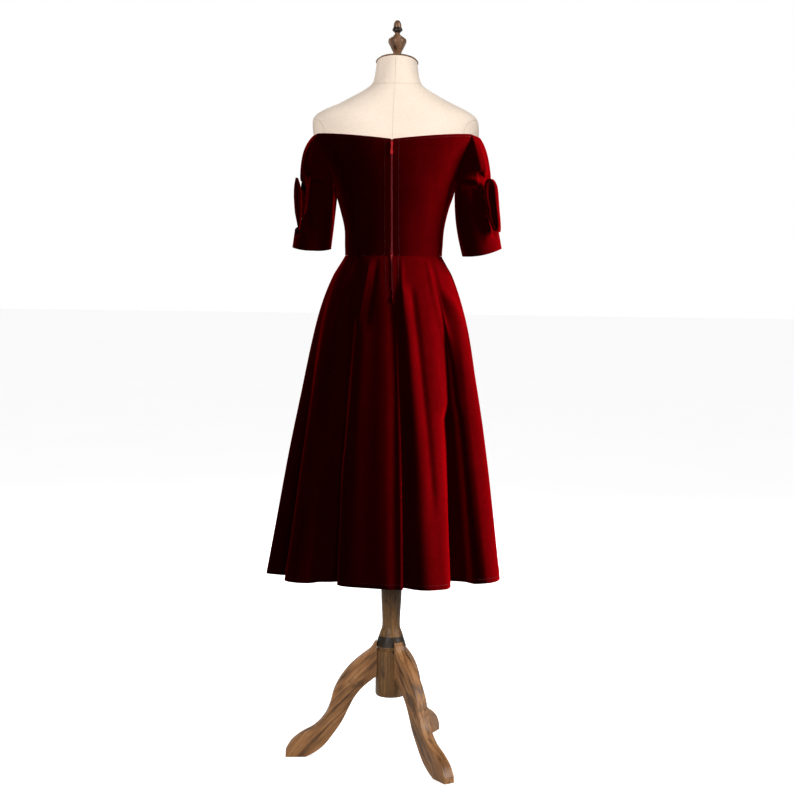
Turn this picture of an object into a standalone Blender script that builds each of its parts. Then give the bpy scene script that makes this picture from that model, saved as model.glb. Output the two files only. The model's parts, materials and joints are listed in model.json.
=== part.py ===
"""Off-the-shoulder velvet dress on a limbless dress form with a turned wooden stand.

Metres, +Z up. The back of the dress faces +Y, its front -Y, and the wearer's left is +X.
The origin is on the floor, in the middle of the whole part's outline. The dress and the form
are worked out round the stand's upright axis, and one empty puts that axis in its place.
"""
import math

import bmesh
import bpy
from mathutils import Vector

OBJECT_NAME = "off_the_shoulder_dress_on_form"

# Where the stand's axis lies, so that the part's outline is centred on the origin
AXIS_X = -0.0216
AXIS_Y = 0.0160

# Cloth: how thick the wall is, how far it lies off the form, and the gap at seams
WALL = 0.0018
FORM_GAP = 0.0022
ARMHOLE_EASE = 0.0015
SEAM_GAP = 0.0003

# Heights of the dress above the floor
HEM = 0.450
WAIST = 1.216
UNDERARM = 1.374
NECK_CENTRE_BACK = 1.4835
NECK_CORNER_BACK = 1.4990
NECK_CENTRE_FRONT = 1.4600
NECK_CORNER_FRONT = 1.4930
NECK_OUTER = 1.4880

# The armhole seam: its angle round the form where it meets the neckline
CORNER_ANGLE = math.radians(27.0)
SIDE_SEAM_ANGLE = math.radians(0.5)
ARMHOLE_TURN = 0.42
ARMHOLE_RISE = 1.7
NECKLINE_CURVE = 1.8
# The share of a bodice panel's rows that lie below the underarm
UNDERARM_SHARE = 0.56
BODICE_ROWS = 10
BODICE_FRONT_COLUMNS = 17
BODICE_BACK_COLUMNS = 9

# The zip in the centre back seam
ZIP_END = 1.110
ZIP_HALF_WIDTH = 0.0019
ZIP_THICK = 0.0015
ZIP_ROWS = 18
ZIP_TOP_DROP = 0.0010
ZIP_END_BLOCK = 0.0060
# The gap opens slightly just above the waist, and closes to a plain seam at the zip's end
ZIP_GAPE = 0.0008
ZIP_GAPE_LENGTH = 0.016
ZIP_GAPE_RISE = 0.004
ZIP_CLOSE_RISE = 0.004
ZIP_CLOSE_LENGTH = 0.012

# The form, a row for each section: height, reach to the wearer's left and right, where its widest
# line lies in depth, reach to the back and front from there, roundness (2 is an ellipse)
FORM_SECTIONS = (
    (0.872, 0.1300, 0.1300, 0.000, 0.0950, 0.0850, 2.10),
    (0.880, 0.1500, 0.1500, 0.000, 0.1100, 0.0970, 2.15),
    (0.900, 0.1600, 0.1600, 0.000, 0.1180, 0.1030, 2.20),
    (0.960, 0.1640, 0.1640, 0.000, 0.1220, 0.1060, 2.25),
    (1.010, 0.1635, 0.1630, 0.000, 0.1210, 0.1050, 2.25),
    (1.060, 0.1565, 0.1545, 0.000, 0.1150, 0.1020, 2.25),
    (1.110, 0.1410, 0.1370, 0.000, 0.1030, 0.0970, 2.25),
    (1.160, 0.1230, 0.1180, 0.000, 0.0905, 0.0920, 2.25),
    (1.213, 0.1136, 0.1072, 0.000, 0.0830, 0.0880, 2.25),
    (1.240, 0.1138, 0.1080, 0.000, 0.0850, 0.0930, 2.25),
    (1.280, 0.1150, 0.1110, 0.000, 0.0900, 0.1030, 2.28),
    (1.324, 0.1254, 0.1205, 0.000, 0.0960, 0.1160, 2.30),
    (1.358, 0.1350, 0.1318, 0.000, 0.1010, 0.1250, 2.30),
    (1.378, 0.1392, 0.1372, 0.000, 0.1040, 0.1280, 2.28),
    (1.400, 0.1470, 0.1462, 0.000, 0.1065, 0.1275, 2.22),
    (1.430, 0.1630, 0.1630, 0.000, 0.1090, 0.1200, 2.15),
    (1.460, 0.1810, 0.1810, 0.000, 0.1095, 0.1070, 2.10),
    (1.490, 0.1940, 0.1940, 0.000, 0.1070, 0.0930, 2.10),
    (1.520, 0.1985, 0.1950, -0.002, 0.1010, 0.0790, 2.10),
    (1.540, 0.1965, 0.1890, -0.004, 0.0955, 0.0690, 2.05),
    (1.5555, 0.1795, 0.1700, -0.005, 0.0900, 0.0625, 2.00),
    (1.575, 0.1350, 0.1310, -0.006, 0.0820, 0.0585, 1.95),
    (1.590, 0.1060, 0.1030, -0.007, 0.0750, 0.0570, 1.95),
    (1.603, 0.0820, 0.0810, -0.008, 0.0690, 0.0560, 1.95),
    (1.612, 0.0670, 0.0670, -0.008, 0.0630, 0.0550, 2.00),
    (1.620, 0.0585, 0.0585, -0.008, 0.0575, 0.0535, 2.00),
    (1.633, 0.0535, 0.0535, -0.008, 0.0525, 0.0510, 2.00),
    (1.650, 0.0505, 0.0505, -0.008, 0.0490, 0.0485, 2.00),
    (1.669, 0.0480, 0.0480, -0.008, 0.0460, 0.0460, 2.00),
)
FORM_COLUMNS = 32
FORM_ROW_LIMIT = 0.055
# The neck's top slopes down to the front; the slope fades out towards the shoulders
NECK_SLOPE = 0.30
NECK_SLOPE_START = 1.600
NECK_TOP = FORM_SECTIONS[-1][0]
NECK_MIDDLE = FORM_SECTIONS[-1][3]
NECK_RADIUS = FORM_SECTIONS[-1][1]

# The skirt's outline, a row for each section: height, reach to the wearer's left, right,
# back and front, roundness
SKIRT_SECTIONS = (
    (0.450, 0.3055, 0.2675, 0.203, 0.214, 2.00),
    (0.610, 0.2760, 0.2430, 0.192, 0.202, 2.00),
    (0.750, 0.2505, 0.2235, 0.180, 0.189, 2.00),
    (0.885, 0.2228, 0.2037, 0.165, 0.172, 2.00),
    (1.020, 0.1949, 0.1815, 0.146, 0.151, 2.00),
    (1.100, 0.1738, 0.1622, 0.131, 0.136, 2.02),
    (1.166, 0.1476, 0.1398, 0.112, 0.117, 2.10),
    (1.200, 0.1270, 0.1205, 0.0965, 0.101, 2.22),
    (1.216, 0.1176, 0.1112, 0.0870, 0.0920, 2.25),
)

# The skirt's folds all round, a row for each ridge and hollow: name, angle at the waist, angle at
# the hem (0 is the wearer's left, 90 the back), and how much of the outline's reach the hem has
SKIRT_FOLDS = (
    ("left side seam", -6.0, -2.0, 0.86),
    ("left side fold", 6.0, 10.5, 1.00),
    ("left side hollow", 18.0, 23.0, 0.81),
    ("left fold", 30.0, 36.5, 0.99),
    ("left fold belly", 44.0, 49.0, 0.94),
    ("left hollow", 54.0, 56.5, 0.68),
    ("left back fold edge", 61.0, 64.5, 0.85),
    ("left back fold face", 72.0, 75.0, 0.89),
    ("left back fold belly", 82.0, 87.0, 0.92),
    ("centre back seam", 90.0, 98.6, 0.96),
    ("centre back hollow", 94.0, 101.0, 0.85),
    ("right back fold side", 97.5, 107.0, 0.955),
    ("right back fold", 102.0, 117.0, 1.00),
    ("right back fold edge", 121.0, 127.0, 0.95),
    ("right hollow", 131.0, 145.0, 0.64),
    ("right fold side", 136.0, 145.5, 0.88),
    ("right fold", 143.0, 153.0, 0.95),
    ("right fold edge", 157.0, 169.0, 0.975),
    ("right side seam", 170.0, 178.0, 0.86),
    ("right side fold", 184.0, 196.0, 1.00),
    ("right front hollow", 199.0, 212.0, 0.74),
    ("right front fold", 212.0, 224.0, 0.97),
    ("right front fold face", 226.0, 237.0, 0.93),
    ("front hollow on the right", 238.0, 248.0, 0.71),
    ("front fold edge", 247.0, 255.0, 0.91),
    ("front fold", 262.0, 266.0, 0.98),
    ("front fold belly", 277.0, 280.0, 0.94),
    ("front hollow on the left", 287.0, 290.0, 0.73),
    ("left front fold", 299.0, 303.0, 0.97),
    ("left front fold face", 314.0, 318.0, 0.93),
    ("left front hollow", 328.0, 332.0, 0.74),
    ("left side front fold", 341.0, 345.0, 0.97),
)
FOLD_NAMES = tuple(row[0] for row in SKIRT_FOLDS)
LEFT_SEAM = FOLD_NAMES.index("left side seam")
BACK_SEAM = FOLD_NAMES.index("centre back seam")
RIGHT_SEAM = FOLD_NAMES.index("right side seam")
FOLD_STEPS = 3
SKIRT_ROWS = 11
SKIRT_ROW_SPREAD = 1.25
FOLD_GROWTH = 1.1
FOLD_TURN = 2.4

# The sleeves, a row for each: name, side (+1 is the wearer's left), the cuff's inner and outer
# reach from the axis, its inner and outer height, how far the sleeve head puffs out, how far the
# inner side bows towards the bodice, how far the bow leans out, and how far out its middle lies
SLEEVES = (
    ("left", 1, 0.1520, 0.2465, 1.2310, 1.2345, 0.0150, 0.0020, 0.06, 0.2290),
    ("right", -1, 0.1585, 0.2545, 1.2165, 1.2360, 0.0092, 0.0070, 0.11, 0.2335),
)
SLEEVE_COLUMNS = 28
SLEEVE_ROWS = 11
SLEEVE_MIDDLE = -0.004
CUFF_HALF_DEPTH = 0.054
CORNER_SHARE = 0.34
PUFF_PEAK = 0.20
CUFF_SAG = 0.006
PINCH = 0.011
PINCH_AT = 0.56
PINCH_LENGTH = 0.13
SLEEVE_ROW_SPREAD = 1.1
# The creases fade towards the sleeve's inner and outer sides, and towards each crease's ends
CREASE_SIDE = 0.15
CREASE_SIDE_FADE = 0.5
CREASE_END_FADE = 0.6
CREASE_TOP_FADE = 0.08

# Creases on each sleeve, seen from the back and again on the front: name, reach and height of the
# one end, reach and height of the other, half width, and how far the cloth stands out there
SLEEVE_CREASES = (
    ("pleat from the neck edge", 0.178, 1.492, 0.203, 1.396, 0.0065, 0.0060),
    ("hollow by the armhole", 0.169, 1.470, 0.158, 1.400, 0.0090, -0.0050),
    ("overhang above the tuck", 0.162, 1.396, 0.204, 1.392, 0.0060, 0.0050),
    ("tuck at the bow's height", 0.160, 1.384, 0.206, 1.382, 0.0045, -0.0050),
    ("ridge below the bow", 0.215, 1.345, 0.222, 1.275, 0.0080, 0.0040),
)

# The bows: how long each loop is, how high and thick, and the middle held by the knot
BOW_HEIGHT = 1.336
BOW_LOOP = 0.080
BOW_HALF_HEIGHT = 0.060
BOW_PINCH_HEIGHT = 0.0160
BOW_PINCH_THICK = 0.0022
BOW_BULGE = 0.0230
BOW_BULGE_GROWTH = 1.4
BOW_FULL = 0.8
BOW_TAPER = 0.16
BOW_WRAP = 0.012
BOW_COLUMNS = 24
BOW_ROWS = 5
BOW_LOW_THICK = 0.45
BOW_LOW_SPAN = 1.4
BOW_CLEAR = 0.0017
BOW_FOOT = 0.030
# Where the bow stops pressing the sleeve in: above and below it, and past the loops' ends
PRESS_LEAD = 0.15
PRESS_EDGE = 0.012
PRESS_EDGE_FADE = 0.030
PRESS_END = 0.85
PRESS_FREE = 0.05
KNOT_HOLLOW_LENGTH = 0.022
KNOT_HOLLOW_HEIGHT = 0.060
KNOT_DEPTH = 0.0051
KNOT_HALF_LENGTH = 0.0120
KNOT_WALL = 0.0030
KNOT_GAP = 0.0006
KNOT_SWELL = 0.0012
# The knot's section, as shares of its half width and half height, and how far in its outer face is
# rounded off at each point
KNOT_SECTION = (
    (1, 0, 1.0), (1, 0.6, 1.0), (1, 1, 0.95), (0.4, 1, 1.0), (-0.4, 1, 1.0), (-1, 1, 0.95), (-1, 0.6, 1.0),
    (-1, 0, 1.0), (-1, -0.6, 1.0), (-1, -1, 0.95), (-0.4, -1, 1.0), (0.4, -1, 1.0), (1, -1, 0.95),
    (1, -0.6, 1.0),
)

# The stand
COLUMN_TOP = FORM_SECTIONS[0][0] - SEAM_GAP
COLUMN_PROFILE = (
    (0.0210, COLUMN_TOP), (0.0235, 0.620), (0.0250, 0.480), (0.0248, 0.409), (0.0222, 0.355),
    (0.0214, 0.333), (0.0222, 0.318), (0.0268, 0.305), (0.0335, 0.284), (0.0368, 0.2725),
)
HUB_RADIUS = 0.0368
HUB_TOP = 0.2722
HUB_BOTTOM = 0.1515
HUB_PROFILE = (
    (0.0330, HUB_TOP), (0.0330, 0.2655), (HUB_RADIUS, 0.2635),
    (HUB_RADIUS, 0.1560), (0.0345, HUB_BOTTOM),
)
TURNED_STEPS = 24
LEG_THICK = 0.026
LEG_ROUNDING = 0.0045
LEG_ANGLES = (7.8, 127.8, 247.8)
# A leg's outline, reach from the axis and height: its upper edge outwards, its lower edge inwards
LEG_UPPER = (
    (0.030, 0.2880), (0.0390, 0.2800), (0.0480, 0.2660), (0.0616, 0.2553), (0.0821, 0.2390), (0.1039, 0.2177),
    (0.1241, 0.1902), (0.1376, 0.1627), (0.1471, 0.1278), (0.1601, 0.1002), (0.1833, 0.0751),
    (0.2165, 0.0560), (0.2398, 0.0370), (0.2540, 0.0144), (0.2545, 0.0),
)
LEG_LOWER = (
    (0.2061, 0.0), (0.1830, 0.0120), (0.1596, 0.0311), (0.1368, 0.0605), (0.1168, 0.0907),
    (0.1019, 0.1217), (0.0872, 0.1493), (0.0674, 0.1733), (0.0379, 0.1972), (0.030, 0.1985),
)
LEG_STEPS = 2
HOLLOW_SPARE = 0.05

# The neck cap and the finial
CAP_RADIUS = NECK_RADIUS + 0.0010
CAP_THICK = 0.0055
BOSS_RADIUS = 0.0130
BOSS_FOOT = 0.0115
BOSS_TOP = 1.6865
# The cap's profile, radius and height above the neck's top: the boss's foot, the slope, the rim
CAP_PROFILE = (
    (BOSS_RADIUS + 0.0020, BOSS_FOOT), (BOSS_RADIUS * 1.7, CAP_THICK), (CAP_RADIUS * 0.72, CAP_THICK),
    (CAP_RADIUS, CAP_THICK * 0.62), (CAP_RADIUS + 0.0012, CAP_THICK * 0.3), (CAP_RADIUS, SEAM_GAP),
)
BOSS_SINK = 0.55
FINIAL_STEPS = 20
FINIAL_PROFILE = (
    (0.0005, 1.7688),
    (0.0040, 1.7680), (0.0072, 1.7640), (0.0088, 1.7590), (0.0094, 1.7535), (0.0098, 1.7512),
    (0.0116, 1.7485), (0.0114, 1.7445), (0.0072, 1.7405), (0.0060, 1.7365), (0.0120, 1.7315),
    (0.0195, 1.7260), (0.0218, 1.7200), (0.0200, 1.7140), (0.0155, 1.7048), (0.0114, 1.6970),
    (0.0096, 1.6925), (0.0100, 1.6895), (0.0118, BOSS_TOP + SEAM_GAP),
)

# The zip's slider and its pull tab
SLIDER_HEIGHT = 0.0080
SLIDER_HALF_WIDTH = 0.0026
SLIDER_PLATE = 0.0011
SLIDER_BELOW_HINGE = 0.62
SLIDER_EDGE = 0.0006
HINGE_HEIGHT = 1.4740
BRIDGE_HALF_WIDTH = 0.0009
BRIDGE_HALF_LENGTH = 0.0022
BRIDGE_WALL = 0.0007
BRIDGE_FOOT = 0.0004
BRIDGE_SHOULDER = 0.6
PULL_THICK = 0.0010
PULL_LENGTH = 0.0260
PULL_CLEAR = 0.0003
PULL_EYE_DROP = 0.0034
PULL_EYE_WALL = 0.0009
# The tab's edge below its eye, from the neck to the drop's end: half width, depth under the hinge
PULL_EDGE = (
    (0.0015, 0.0056), (0.0016, 0.0100), (0.0027, 0.0160), (0.0034, 0.0205), (0.0030, 0.0236),
    (0.0016, PULL_LENGTH - 0.0004),
)

COLLECTIONS = {}


def start_empty_scene():
    """Remove what the scene holds and make the collections for the parts and the cutters."""
    for item in list(bpy.data.objects):
        bpy.data.objects.remove(item, do_unlink=True)
    for name in (OBJECT_NAME, "cutters"):
        collection = bpy.data.collections.new(name)
        bpy.context.scene.collection.children.link(collection)
        COLLECTIONS[name] = collection


def principled(name, colour, roughness, metallic=0.0):
    """A plain Principled material."""
    material = bpy.data.materials.new(name)
    material.use_nodes = True
    shader = material.node_tree.nodes["Principled BSDF"]
    shader.inputs["Base Color"].default_value = (*colour, 1.0)
    shader.inputs["Roughness"].default_value = roughness
    shader.inputs["Metallic"].default_value = metallic
    return material


def add_object(name, data, material, cutter=False):
    """Link a new object for a mesh or curve, under the empty on the stand's axis."""
    item = bpy.data.objects.new(name, data)
    COLLECTIONS["cutters" if cutter else OBJECT_NAME].objects.link(item)
    if cutter:
        item.hide_render = True
        item.display_type = "WIRE"
    else:
        item.data.materials.append(material)
    item.parent = STAND_AXIS
    return item


def smooth_row(table, height):
    """A table's values at a height, on a smooth curve through its rows."""
    last = len(table) - 1
    low = 0
    while low < last - 1 and table[low + 1][0] < height:
        low += 1
    span = table[low + 1][0] - table[low][0]
    share = min(1.0, max(0.0, (height - table[low][0]) / span))
    before, after = table[max(low - 1, 0)], table[min(low + 2, last)]
    first, second = table[low], table[low + 1]
    values = []
    for k in range(1, len(first)):
        start_slope = (second[k] - before[k]) / (second[0] - before[0]) * span
        end_slope = (after[k] - first[k]) / (after[0] - first[0]) * span
        square, cube = share ** 2, share ** 3
        values.append((2 * cube - 3 * square + 1) * first[k] + (cube - 2 * square + share) * start_slope
                      + (3 * square - 2 * cube) * second[k] + (cube - square) * end_slope)
    return values


def power(value, exponent):
    """A power that keeps the value's sign."""
    return math.copysign(abs(value) ** exponent, value)


def blend(start, end, share):
    """A value or point between two others."""
    return start + (end - start) * share


def soft_step(share):
    """A smooth rise from 0 to 1."""
    share = min(1.0, max(0.0, share))
    return share * share * (3 - 2 * share)


def bell(distance, width):
    """1 at a distance of nothing, falling away smoothly."""
    return math.exp(-(distance / width) ** 2)


def grid_faces(rows, columns, start, closed, flip):
    """Triangles over a grid of points that starts at a given index."""
    faces = []
    for row in range(rows - 1):
        for column in range(columns if closed else columns - 1):
            right = (column + 1) % columns
            a, b = start + row * columns + column, start + row * columns + right
            c, d = b + columns, a + columns
            faces += [(a, c, b), (a, d, c)] if flip else [(a, b, c), (a, c, d)]
    return faces


def rim_faces(first, second):
    """Triangles between two rows of points that run side by side."""
    faces = []
    for k in range(len(first) - 1):
        faces.append((first[k], first[k + 1], second[k + 1]))
        faces.append((first[k], second[k + 1], second[k]))
    return faces


def cloth_wall(name, inner, outer, material, closed=False):
    """One closed wall of cloth between two matching grids of points, rows of columns."""
    rows, columns = len(inner), len(inner[0])
    count = rows * columns
    points = [p for row in inner for p in row] + [p for row in outer for p in row]
    faces = grid_faces(rows, columns, 0, closed, True) + grid_faces(rows, columns, count, closed, False)
    for row in (0, rows - 1):
        edge = [row * columns + column for column in range(columns)]
        if closed:
            edge.append(edge[0])
        faces += rim_faces(edge, [k + count for k in edge])
    if not closed:
        for column in (0, columns - 1):
            edge = [row * columns + column for row in range(rows)]
            faces += rim_faces(edge, [k + count for k in edge])
    return finish_mesh(name, points, faces, material)


def finish_mesh(name, points, faces, material):
    """A mesh object from points and faces, its faces turned outwards."""
    mesh = bpy.data.meshes.new(name)
    mesh.from_pydata([tuple(p) for p in points], [], faces)
    work = bmesh.new()
    work.from_mesh(mesh)
    bmesh.ops.recalc_face_normals(work, faces=work.faces)
    work.to_mesh(mesh)
    work.free()
    mesh.shade_smooth()
    mesh.set_sharp_from_angle(angle=math.radians(50))
    return add_object(name, mesh, material)


def turned(name, profile, material, middle=0.0, steps=TURNED_STEPS):
    """A turned piece: a profile from its top to its bottom, closed on the axis, with Screw."""
    points = [(0.0, 0.0, profile[0][1])] + [(r, 0.0, z) for r, z in profile]
    points.append((0.0, 0.0, profile[-1][1]))
    mesh = bpy.data.meshes.new(name)
    mesh.from_pydata(points, [(k, k + 1) for k in range(len(points) - 1)], [])
    item = add_object(name, mesh, material)
    item.location = (0.0, middle, 0.0)
    screw = item.modifiers.new("turn", "SCREW")
    screw.steps = screw.render_steps = steps
    screw.use_merge_vertices = True
    screw.merge_threshold = 0.00001
    screw.use_smooth_shade = True
    return item


def section_point(angle, left, right, back, front, roundness):
    """A point on a rounded section, in plan."""
    across = power(math.cos(angle), 2 / roundness)
    deep = power(math.sin(angle), 2 / roundness)
    return across * (left if across >= 0 else right), deep * (back if deep >= 0 else front)


def form_point(angle, height, gap=0.0):
    """A point on the form's surface, or a given gap outside it."""
    left, right, middle, back, front, roundness = smooth_row(FORM_SECTIONS, height)
    x, y = section_point(angle, left + gap, right + gap, back + gap, front + gap, roundness)
    return Vector((x, middle + y, height))


def form_back_at(x, height, gap):
    """The point on the form's back at a distance from the centre line."""
    left, right, middle, back, _, roundness = smooth_row(FORM_SECTIONS, height)
    share = abs(x) / ((left if x > 0 else right) + gap)
    return Vector((x, middle + (back + gap) * (1 - share ** roundness) ** (1 / roundness), height))


def make_torso(material):
    """The form's torso: rings from its sections, the neck's rings sloping to the front."""
    heights = []
    for low, high in zip(FORM_SECTIONS, FORM_SECTIONS[1:]):
        heights.append(low[0])
        if high[0] - low[0] > FORM_ROW_LIMIT:
            heights.append((low[0] + high[0]) / 2)
    heights.append(NECK_TOP)
    points = []
    for height in heights:
        slope = NECK_SLOPE * soft_step((height - NECK_SLOPE_START) / (NECK_TOP - NECK_SLOPE_START))
        for column in range(FORM_COLUMNS):
            point = form_point(math.tau * column / FORM_COLUMNS, height)
            point.z += slope * (point.y - NECK_MIDDLE)
            points.append(point)
    faces = grid_faces(len(heights), FORM_COLUMNS, 0, True, False)
    top = len(points) - FORM_COLUMNS
    faces.append(tuple(range(FORM_COLUMNS)))
    faces.append(tuple(range(top, top + FORM_COLUMNS)))
    return finish_mesh("form_torso", points, faces, material)


def armhole(share, face):
    """Angle and height of the armhole seam, from the underarm (0) to the neck edge (1)."""
    corner = NECK_CORNER_BACK if face > 0 else NECK_CORNER_FRONT
    return CORNER_ANGLE * share ** ARMHOLE_TURN, UNDERARM + (corner - UNDERARM) * share ** ARMHOLE_RISE


def zip_half_gap(height):
    """Half the gap between the two backs, with the zip in it above the zip's end."""
    gape = ZIP_GAPE * bell(height - WAIST - ZIP_GAPE_RISE, ZIP_GAPE_LENGTH)
    with_zip = ZIP_HALF_WIDTH + SEAM_GAP + gape
    return blend(with_zip, SEAM_GAP / 2, soft_step((ZIP_END + ZIP_CLOSE_RISE - height) / ZIP_CLOSE_LENGTH))


def bodice_rows(rows):
    """Shares of the bodice's height: even up to the underarm, then even up the armhole."""
    low = round(rows * UNDERARM_SHARE)
    return ([UNDERARM_SHARE * k / low for k in range(low)]
            + [blend(UNDERARM_SHARE, 1.0, k / (rows - low)) for k in range(rows - low + 1)])


def bodice_place(across, up, face):
    """Angle and height at a share across (-1 right edge to 1 left edge) and a share up."""
    centre_top = NECK_CENTRE_BACK if face > 0 else NECK_CENTRE_FRONT
    centre = blend(WAIST + SEAM_GAP, centre_top, up)
    if up <= UNDERARM_SHARE:
        edge_angle, edge = 0.0, blend(WAIST + SEAM_GAP, UNDERARM, up / UNDERARM_SHARE)
    else:
        edge_angle, edge = armhole((up - UNDERARM_SHARE) / (1 - UNDERARM_SHARE), face)
    edge_angle = max(edge_angle, SIDE_SEAM_ANGLE)
    height = blend(centre, edge, 1 - (1 - abs(across)) ** NECKLINE_CURVE)
    return math.pi / 2 - (math.pi / 2 - edge_angle) * across, height


def make_bodice(name, face, start, end, columns, material):
    """A bodice panel on the form, from one share across to another."""
    inner, outer = [], []
    for up in bodice_rows(BODICE_ROWS):
        for grid, wall in ((inner, 0.0), (outer, WALL)):
            line = []
            for k in range(columns):
                across = blend(start, end, k / (columns - 1))
                angle, height = bodice_place(across, up, face)
                gap = FORM_GAP + ARMHOLE_EASE * across ** 4 + wall
                if across == 0.0 and face > 0:
                    side = 1 if start + end > 0 else -1
                    line.append(form_back_at(side * zip_half_gap(height), height, gap))
                else:
                    line.append(form_point(angle * face, height, gap))
            grid.append(line)
    return cloth_wall(name, inner, outer, material)


def fold_ring(height, steps=FOLD_STEPS):
    """The skirt's outer line at a height, in plan, through its ridges and hollows."""
    left, right, back, front, roundness = smooth_row(SKIRT_SECTIONS, height)
    down = (WAIST - height) / (WAIST - HEM)
    depth, turn = max(down, 0.0) ** FOLD_GROWTH, 1 - (1 - down) ** FOLD_TURN
    stations = [(blend(waist, hem, turn), 1 - (1 - share) * depth) for _, waist, hem, share in SKIRT_FOLDS]
    count = len(stations)
    ring = []
    for k in range(count):
        near = []
        for offset in (-1, 0, 1, 2):
            angle, share = stations[(k + offset) % count]
            near.append((angle + 360.0 * ((k + offset) // count), share))
        for step in range(steps):
            u = step / steps
            angle, share = (curve_value([p[i] for p in near], u) for i in (0, 1))
            x, y = section_point(math.radians(angle), left, right, back, front, roundness)
            ring.append(Vector((x * share, y * share, height)))
    return ring


def curve_value(values, u):
    """A smooth curve through the middle two of four values."""
    a, b, c, d = values
    return 0.5 * (2 * b + (c - a) * u + (2 * a - 5 * b + 4 * c - d) * u ** 2
                  + (3 * b - 3 * c + d - a) * u ** 3)


def plan_normal(before, after):
    """The outward direction in plan of a line that runs round to the left."""
    along = after - before
    return Vector((along.y, -along.x, 0.0)).normalized()


def skirt_heights(rows):
    """The heights of the skirt's rows, closer together near the waist."""
    return [WAIST - (WAIST - HEM) * (k / (rows - 1)) ** SKIRT_ROW_SPREAD for k in range(rows)]


def make_skirt_panel(name, first, last, material):
    """A skirt panel between two seams, each given as a row of the fold table."""
    inner, outer = [], []
    for height in skirt_heights(SKIRT_ROWS):
        ring = fold_ring(height)
        count = len(ring)
        walls = ([], [])
        for k in range(first * FOLD_STEPS, last * FOLD_STEPS + 1):
            point = ring[k % count].copy()
            before, after = ring[(k - 1) % count], ring[(k + 1) % count]
            outward = plan_normal(before, after)
            station = (k // FOLD_STEPS) % len(SKIRT_FOLDS)
            half_gap = zip_half_gap(height) if station == BACK_SEAM else SEAM_GAP / 2
            if k == first * FOLD_STEPS:
                point += (after - before).normalized() * half_gap
            if k == last * FOLD_STEPS:
                point -= (after - before).normalized() * half_gap
            walls[0].append(point - outward * WALL)
            walls[1].append(point)
        inner.append(walls[0])
        outer.append(walls[1])
    return cloth_wall(name, inner, outer, material)


def neck_edge(share):
    """Angle and height of the sleeve's neck edge over the shoulder cap, back to front."""
    height = (NECK_CORNER_BACK * (1 - share) ** 2 + 2 * NECK_OUTER * share * (1 - share)
              + NECK_CORNER_FRONT * share ** 2)
    return CORNER_ANGLE * (1 - 2 * share), height


def sleeve_top(turn, side):
    """The sleeve's upper edge: 0 at the underarm, up the back, over the cap, down the front."""
    under = max(0.0, math.cos(math.tau * turn)) ** 4
    gap = FORM_GAP + ARMHOLE_EASE + WALL + SEAM_GAP + (WALL + SEAM_GAP) * under
    if turn <= CORNER_SHARE:
        angle, height = armhole(turn / CORNER_SHARE, 1)
    elif turn < 1 - CORNER_SHARE:
        angle, height = neck_edge((turn - CORNER_SHARE) / (1 - 2 * CORNER_SHARE))
    else:
        angle, height = armhole((1 - turn) / CORNER_SHARE, -1)
        angle = -angle
    return form_point(angle if side > 0 else math.pi - angle, height, gap)


def crease_height(point, facing):
    """How far the sleeve's main creases lift the cloth at a point."""
    total = 0.0
    reach, height = abs(point.x), point.z
    for _, reach_a, height_a, reach_b, height_b, width, lift in SLEEVE_CREASES:
        along = Vector((reach_b - reach_a, height_b - height_a))
        share = min(1.0, max(0.0, Vector((reach - reach_a, height - height_a)).dot(along) / along.length_squared))
        off = Vector((reach - reach_a, height - height_a)) - along * share
        fade = 1 - CREASE_END_FADE * abs(2 * share - 1) ** 2
        total += lift * fade * bell(off.length, width)
    return total * soft_step((facing - CREASE_SIDE) / CREASE_SIDE_FADE)


def bow_limit(sleeve, point):
    """How far out the sleeve may reach, so that its bow lies on it."""
    along = min(1.0, abs(point.y - SLEEVE_MIDDLE) / BOW_LOOP)
    tall = max(BOW_FOOT, blend(BOW_PINCH_HEIGHT, BOW_HALF_HEIGHT, soft_step((along + PRESS_LEAD) / BOW_FULL)))
    off = abs(point.z - BOW_HEIGHT) - tall
    thick = BOW_PINCH_THICK + BOW_BULGE * along ** BOW_BULGE_GROWTH
    layer = BOW_WRAP * along ** 2 + thick * math.sqrt(1 - along * along)
    knot = KNOT_DEPTH * bell(point.y - SLEEVE_MIDDLE, KNOT_HOLLOW_LENGTH)
    knot *= bell(point.z - BOW_HEIGHT, KNOT_HOLLOW_HEIGHT)
    free = PRESS_FREE * (soft_step((off - PRESS_EDGE) / PRESS_EDGE_FADE)
                         + soft_step((along - PRESS_END) / (1 - PRESS_END)))
    return sleeve[-1] + sleeve[-2] * (BOW_HEIGHT - point.z) - layer - knot - WALL - BOW_CLEAR + free


def sleeve_point(sleeve, turn, down):
    """A point on the sleeve's inner face: a share round, and a share down to the cuff."""
    _, side, cuff_in, cuff_out, in_height, out_height, puff, inner_bow, *_ = sleeve
    around = math.tau * turn
    outward = -math.cos(around)
    top = sleeve_top(turn, side)
    half = (cuff_out - cuff_in) / 2 - WALL
    middle = (cuff_in + cuff_out) / 2
    cuff = Vector((side * (middle + half * outward), SLEEVE_MIDDLE + CUFF_HALF_DEPTH * math.sin(around),
                   blend(in_height, out_height, (1 + outward) / 2) - CUFF_SAG * math.sin(around) ** 2))
    radial = Vector((side * outward, math.sin(around), 0.0))
    swell = down / PUFF_PEAK * math.exp(1 - down / PUFF_PEAK)
    outer_share = (1 + outward) / 2
    bow = inner_bow * math.sin(math.pi * down) * (1 - outer_share)
    dent = PINCH * bell(down - PINCH_AT, PINCH_LENGTH) * max(0.0, outward) ** 1.5
    point = blend(top, cuff, down) + radial * (puff * swell * outer_share ** 0.7 + bow - dent)
    point += radial * crease_height(point, abs(math.sin(around))) * soft_step(down / CREASE_TOP_FADE)
    over = side * point.x - bow_limit(sleeve, point)
    if over > 0.0:
        point.x -= side * over
    return point


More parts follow.
